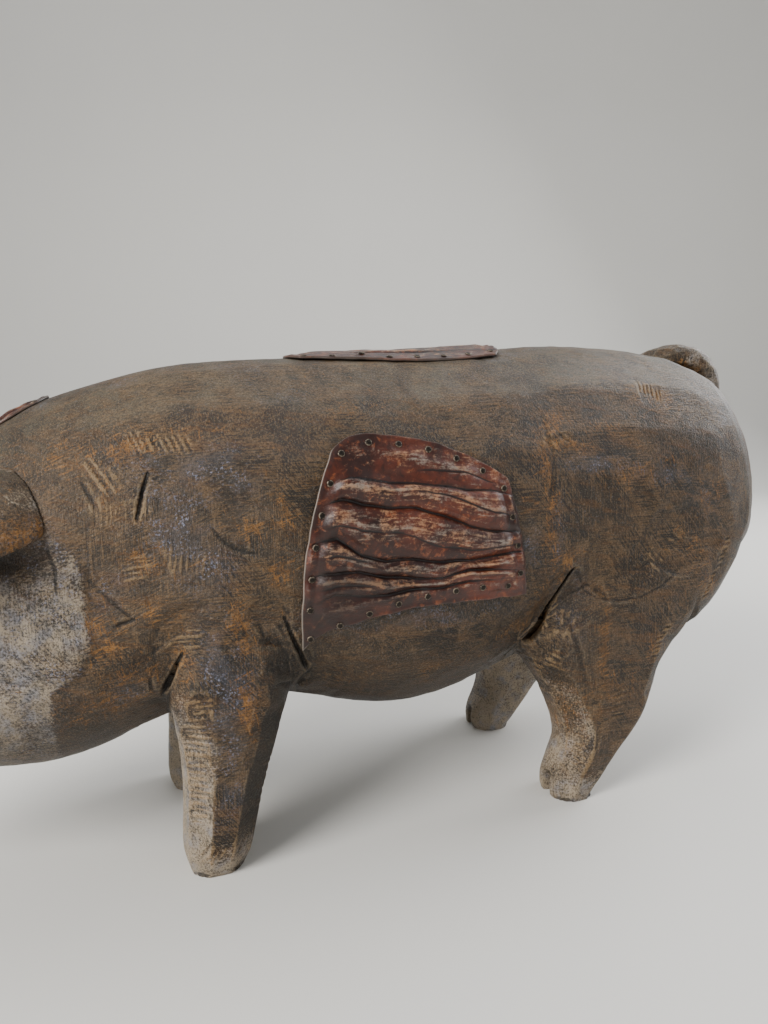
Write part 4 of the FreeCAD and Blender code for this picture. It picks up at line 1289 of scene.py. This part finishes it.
def tack_heads(name, tacks, top, seed):
    """A patch's tacks, seated on the leather as it lies."""
    rng = np.random.default_rng(seed + 50)
    points, faces, rim = [], [], []
    near = kd_tree(top)
    for seat, axis in tacks:
        lying = top[near.find(seat)[1]]
        head, head_faces, head_rim = tack_head(seat + axis * ((lying - seat) @ axis + 0.6), axis, rng)
        faces += [[k + len(points) for k in face] for face in head_faces]
        points += head
        rim += head_rim
    mesh = make_mesh(f"{name}_tacks", np.array(points), faces)
    bm = bmesh.new()
    bm.from_mesh(mesh)
    bmesh.ops.recalc_face_normals(bm, faces=bm.faces)
    bm.to_mesh(mesh)
    bm.free()
    store(mesh, "rim", rim)
    shade_smooth(mesh)
    make_piece(f"{name}_tack_heads", mesh, METAL, f"{name}_tacks")


def cut_sheet(curves, u, v, steps, seed):
    """Places over a patch's outline, each one's gap to the wavering cut edge, and the depth."""
    flat = coons(*curves, u, v)
    rimward = np.maximum(np.abs(u - 0.5), np.abs(v - 0.5)) * 2
    waver = np.stack([noise(np.c_[flat, 0 * u], 9, seed + k) for k in (20, 21)], -1)
    flat = flat + waver * 0.6 * ramp(rimward, 0.8, 1.0)[:, None]
    grid = flat.reshape(steps[1], steps[0], 2)
    border = np.concatenate([grid[0], grid[-1], grid[:, 0], grid[:, -1]])
    tree = kd_tree(np.c_[border, 0 * border[:, 0]])
    edge_gap = np.array([tree.find((a, b, 0))[2] for a, b in flat])
    return flat, edge_gap, np.linalg.norm(grid[-1] - grid[0], axis=1).mean()


def drape(flat, axis, start, steps):
    """Where the wood lies under each place, seen along an axis from start, and its soft normals."""
    way = np.zeros(3)
    way[axis] = -np.sign(start)
    hits = [body_tree.ray_cast(p, way)[:2] for p in np.insert(flat, axis, start, axis=1)]
    laid, normals = (np.array([tuple(h[k]) for h in hits]) for k in (0, 1))
    for _ in range(12):
        padded = np.pad(normals.reshape(steps[1], steps[0], 3), ((1, 1), (1, 1), (0, 0)), "edge")
        total = padded[:-2, 1:-1] + padded[2:, 1:-1] + padded[1:-1, :-2] + padded[1:-1, 2:]
        normals = ((total + padded[1:-1, 1:-1]) / 5).reshape(-1, 3)
    return laid, unit(normals - 0.2 * way)


def thick_sheet(name, top, under, steps):
    """A closed sheet between two grids of points, with a rounded edge."""
    count = len(top)
    index = np.arange(count).reshape(steps[1], steps[0])
    quads = np.stack([index[:-1, :-1], index[1:, :-1], index[1:, 1:], index[:-1, 1:]], -1).reshape(-1, 4)
    ring = np.concatenate([index[0, :-1], index[:-1, -1], index[-1, :0:-1], index[:0:-1, 0]])
    bulge = (top[ring] + under[ring]) * 0.5 + unit(top[ring] - top.mean(0)) * 0.25
    points = np.concatenate([top, under, bulge])
    middle = 2 * count + np.arange(len(ring))
    next_ring, next_middle = np.roll(ring, -1), np.roll(middle, -1)
    upper = np.stack([ring, next_ring, next_middle, middle], -1)
    lower = np.stack([middle, next_middle, next_ring + count, ring + count], -1)
    mesh = make_mesh(name, points, np.concatenate([quads, quads[:, ::-1] + count, upper, lower]))
    # Face outwards whichever way the grid was drawn.
    a, b, c = points[get_triangles(mesh)].transpose(1, 0, 2)
    if np.einsum("ij,ij->", a, np.cross(b, c)) < 0:
        mesh.flip_normals()
    return mesh, points


def leather_patch(name, outline, axis, start, folds, seed, steps, wrinkle=1.0, lit_cut_edge=0.0):
    """One patch: a folded skin with a pressed-down border, laid on the wood, and its tacks."""
    u, v = (g.ravel() for g in np.meshgrid(*(np.linspace(0, 1, count) for count in steps)))
    curves = [side_curve(arcs) for arcs in outline]
    flat, edge_gap, span = cut_sheet(curves, u, v, steps, seed)
    height, valley_shade, shoulder = fold_height(u, v, *folds, span, seed)
    height *= wrinkle * (0.65 + 0.35 * ramp(u, 0.0, 0.42))
    laid, normals = drape(flat, axis, start, steps)

    tacks = tack_places(f"{name}_tacks")
    press = most(*(np.exp(-(np.linalg.norm(laid - seat, axis=1) / 4.6) ** 2) for seat, _ in tacks))
    # The folds die out in the border, but some run on to the left and right edges.
    far_edge = ramp(u, 0.82, 1.0) * ramp(v, 0.05, 0.12) * ramp(v, 0.86, 0.76)
    near_edge = ramp(u, 0.14, 0.0) * ramp(v, 0.38, 0.48) * ramp(v, 0.86, 0.74)
    window = most(ramp(edge_gap, 1.5, 15.0), 0.75 * (far_edge + near_edge) * ramp(edge_gap, 0.0, 4.0))
    rise = 1.9 + window * (0.5 + height) * (1 - 0.7 * press)
    curl = ramp(edge_gap, 4.0, 0.0) * (0.5 + 0.5 * noise(np.c_[flat, 0 * u], 16, seed + 9))
    rise = np.maximum(rise + 0.7 * curl * (1 - press) - 0.45 * press, 1.15)
    top = laid + normals * rise[:, None]
    mesh, points = thick_sheet(name, top, laid + normals * 0.1, steps)

    count = len(top)
    bend = curvature(points, vertex_normals(points, get_triangles(mesh)), get_edges(mesh))[:count]
    # Rubbed on the high, convex places; painted sheen on each fold's upper shoulder and along the top edge,
    # stronger to the right.
    crest_wear_and_sheen = 0.15 * clip01((rise - 2.6) / 4.6) + 0.42 * shoulder + 0.45 * clip01(-bend / 0.35)
    crest_wear_and_sheen = clip01(crest_wear_and_sheen) * np.maximum(window, 0.35) + 0.3 * ramp(v, 0.3, 0.05) * ramp(u, 0.1, 0.7)
    shade = 0.95 * ramp(v, 0.45, 0.85) * ramp(u, 0.6, 0.1) + 0.3 * press
    # A pale rim round the cut edge, brighter along the left edge as a painted highlight.
    rim = ramp(edge_gap, 0.9, 0.0) * (0.15 + lit_cut_edge * ramp(u, 0.04, 0.0))
    # Each mask with its values under the leather and round its edge.
    for mask, values, under, edge in (
        ("crest_wear_and_sheen", crest_wear_and_sheen, 0, 0.2),
        # Painted shade in the valleys and creases.
        ("valley_shade", 0.8 * window * (valley_shade + clip01(bend / 0.6)), 1, 0.3),
        ("shade", shade, 1, 0),
        ("rim", rim, 0, 0.3),
    ):
        rest = len(points) - 2 * count
        store(mesh, mask, np.concatenate([clip01(values), np.full(count, under), np.full(rest, edge)]))
    shade_smooth(mesh)
    make_piece(f"{name}_leather", mesh, LEATHER, f"{name}_patch")
    tack_heads(name, tacks, top, seed)


# Floor, light and camera, in metres.


def studio():
    """A pale floor that bends up into a wall behind the pig, and four soft lamps."""
    half_width, front, wall, bend, height, turn = 4.0, -3.4, 1.6, 0.6, 2.4, -20
    profile = [(front, 0.0), (wall, 0.0)]
    for a in np.linspace(0.1, math.pi / 2, 12):
        profile.append((wall + bend * math.sin(a), bend * (1 - math.cos(a))))
    profile.append((wall + bend, height))
    points = [(x, y, z) for y, z in profile for x in (-half_width, half_width)]
    faces = [(k, k + 1, k + 3, k + 2) for k in range(0, len(points) - 2, 2)]
    mesh = bpy.data.meshes.new("floor")
    mesh.from_pydata(points, [], faces)
    shade_smooth(mesh)
    n = Net("floor")
    colour = n.mix(n.noise(3, 2), "d9d7d2", "dedcd7")
    mesh.materials.append(n.finish(colour, 0.55, {"Specular IOR Level": 0.3}))
    floor = make_object("floor", mesh)
    floor.rotation_euler = (0, 0, math.radians(turn))

    world = bpy.data.worlds.new("studio")
    bpy.context.scene.world = world
    world.use_nodes = True
    sky = world.node_tree.nodes["Background"]
    sky.inputs["Color"].default_value = (0.94, 0.97, 1.0, 1.0)
    sky.inputs["Strength"].default_value = 0.34

    aim = Vector((0, 0, 0.18))
    for name, place, size, power, tint in (
        ("key", (-1.6, -0.8, 1.2), 1.0, 60, (1.0, 0.98, 0.95)),
        ("fill", (1.5, -1.4, 0.9), 1.6, 6, (0.95, 0.97, 1.0)),
        ("top", (0.3, 0.6, 1.9), 1.5, 12, (1.0, 1.0, 1.0)),
        ("back", (1.6, 0.3, 1.1), 1.2, 34, (0.97, 0.98, 1.0)),
    ):
        lamp = bpy.data.lights.new(name, "AREA")
        lamp.shape = "DISK"
        lamp.size, lamp.energy, lamp.color = size, power, tint
        thing = make_object(name, lamp)
        thing.location = place
        thing.rotation_euler = (aim - Vector(place)).to_track_quat("-Z", "Y").to_euler()


def camera():
    """Close to the flank, turned towards the tail, so that the snout is out of frame."""
    place = (-0.1734, -0.558, 0.320)
    heading, pitch, roll = math.radians(20.0), math.radians(9.2), 0.0203
    level_right = Vector((math.cos(heading), -math.sin(heading), 0))
    level_ahead = Vector((math.sin(heading), math.cos(heading), 0))
    ahead = level_ahead * math.cos(pitch) - Vector((0, 0, math.sin(pitch)))
    down = -level_ahead * math.sin(pitch) - Vector((0, 0, math.cos(pitch)))
    right = (level_right + down * roll).normalized()
    up = -ahead.cross(right).normalized()
    lens = bpy.data.cameras.new("camera")
    lens.sensor_width = 36.0
    lens.lens = 27.07
    lens.clip_start, lens.clip_end = 0.01, 50
    thing = make_object("camera", lens)
    turn = Matrix((right, up, -ahead)).transposed().to_4x4()
    thing.matrix_world = Matrix.Translation(place) @ turn
    bpy.context.scene.camera = thing


# The whole scene.

WOOD, LEATHER, METAL, DOWEL = carved_wood(), leather(), tack_metal(), dowel_wood()

body_tree = carve_body()
carve_ear("left_ear", LEFT)
carve_ear("right_ear", RIGHT)
carve_tail()

# Each patch is laid along Y (1) or Z (2), from a start clear of the wood.
left_folds = (LEFT_FOLDS, LEFT_CREASES, LEFT_HEIGHTS)
leather_patch("left_flank", LEFT_OUTLINE, 1, -130.0, left_folds, 7, (230, 190), lit_cut_edge=0.9)
leather_patch("right_flank", RIGHT_OUTLINE, 1, 130.0, chance_folds(5, 61), 61, (190, 150))
leather_patch("back", BACK_OUTLINE, 2, 400.0, chance_folds(4, 83), 83, (210, 100), 0.9)
leather_patch("crown", CROWN_OUTLINE, 2, 400.0, chance_folds(3, 95), 95, (90, 80), 0.7)

for name in DOWEL_NODES:
    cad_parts[name].data.materials.clear()
    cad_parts[name].data.materials.append(DOWEL)

studio()
camera()
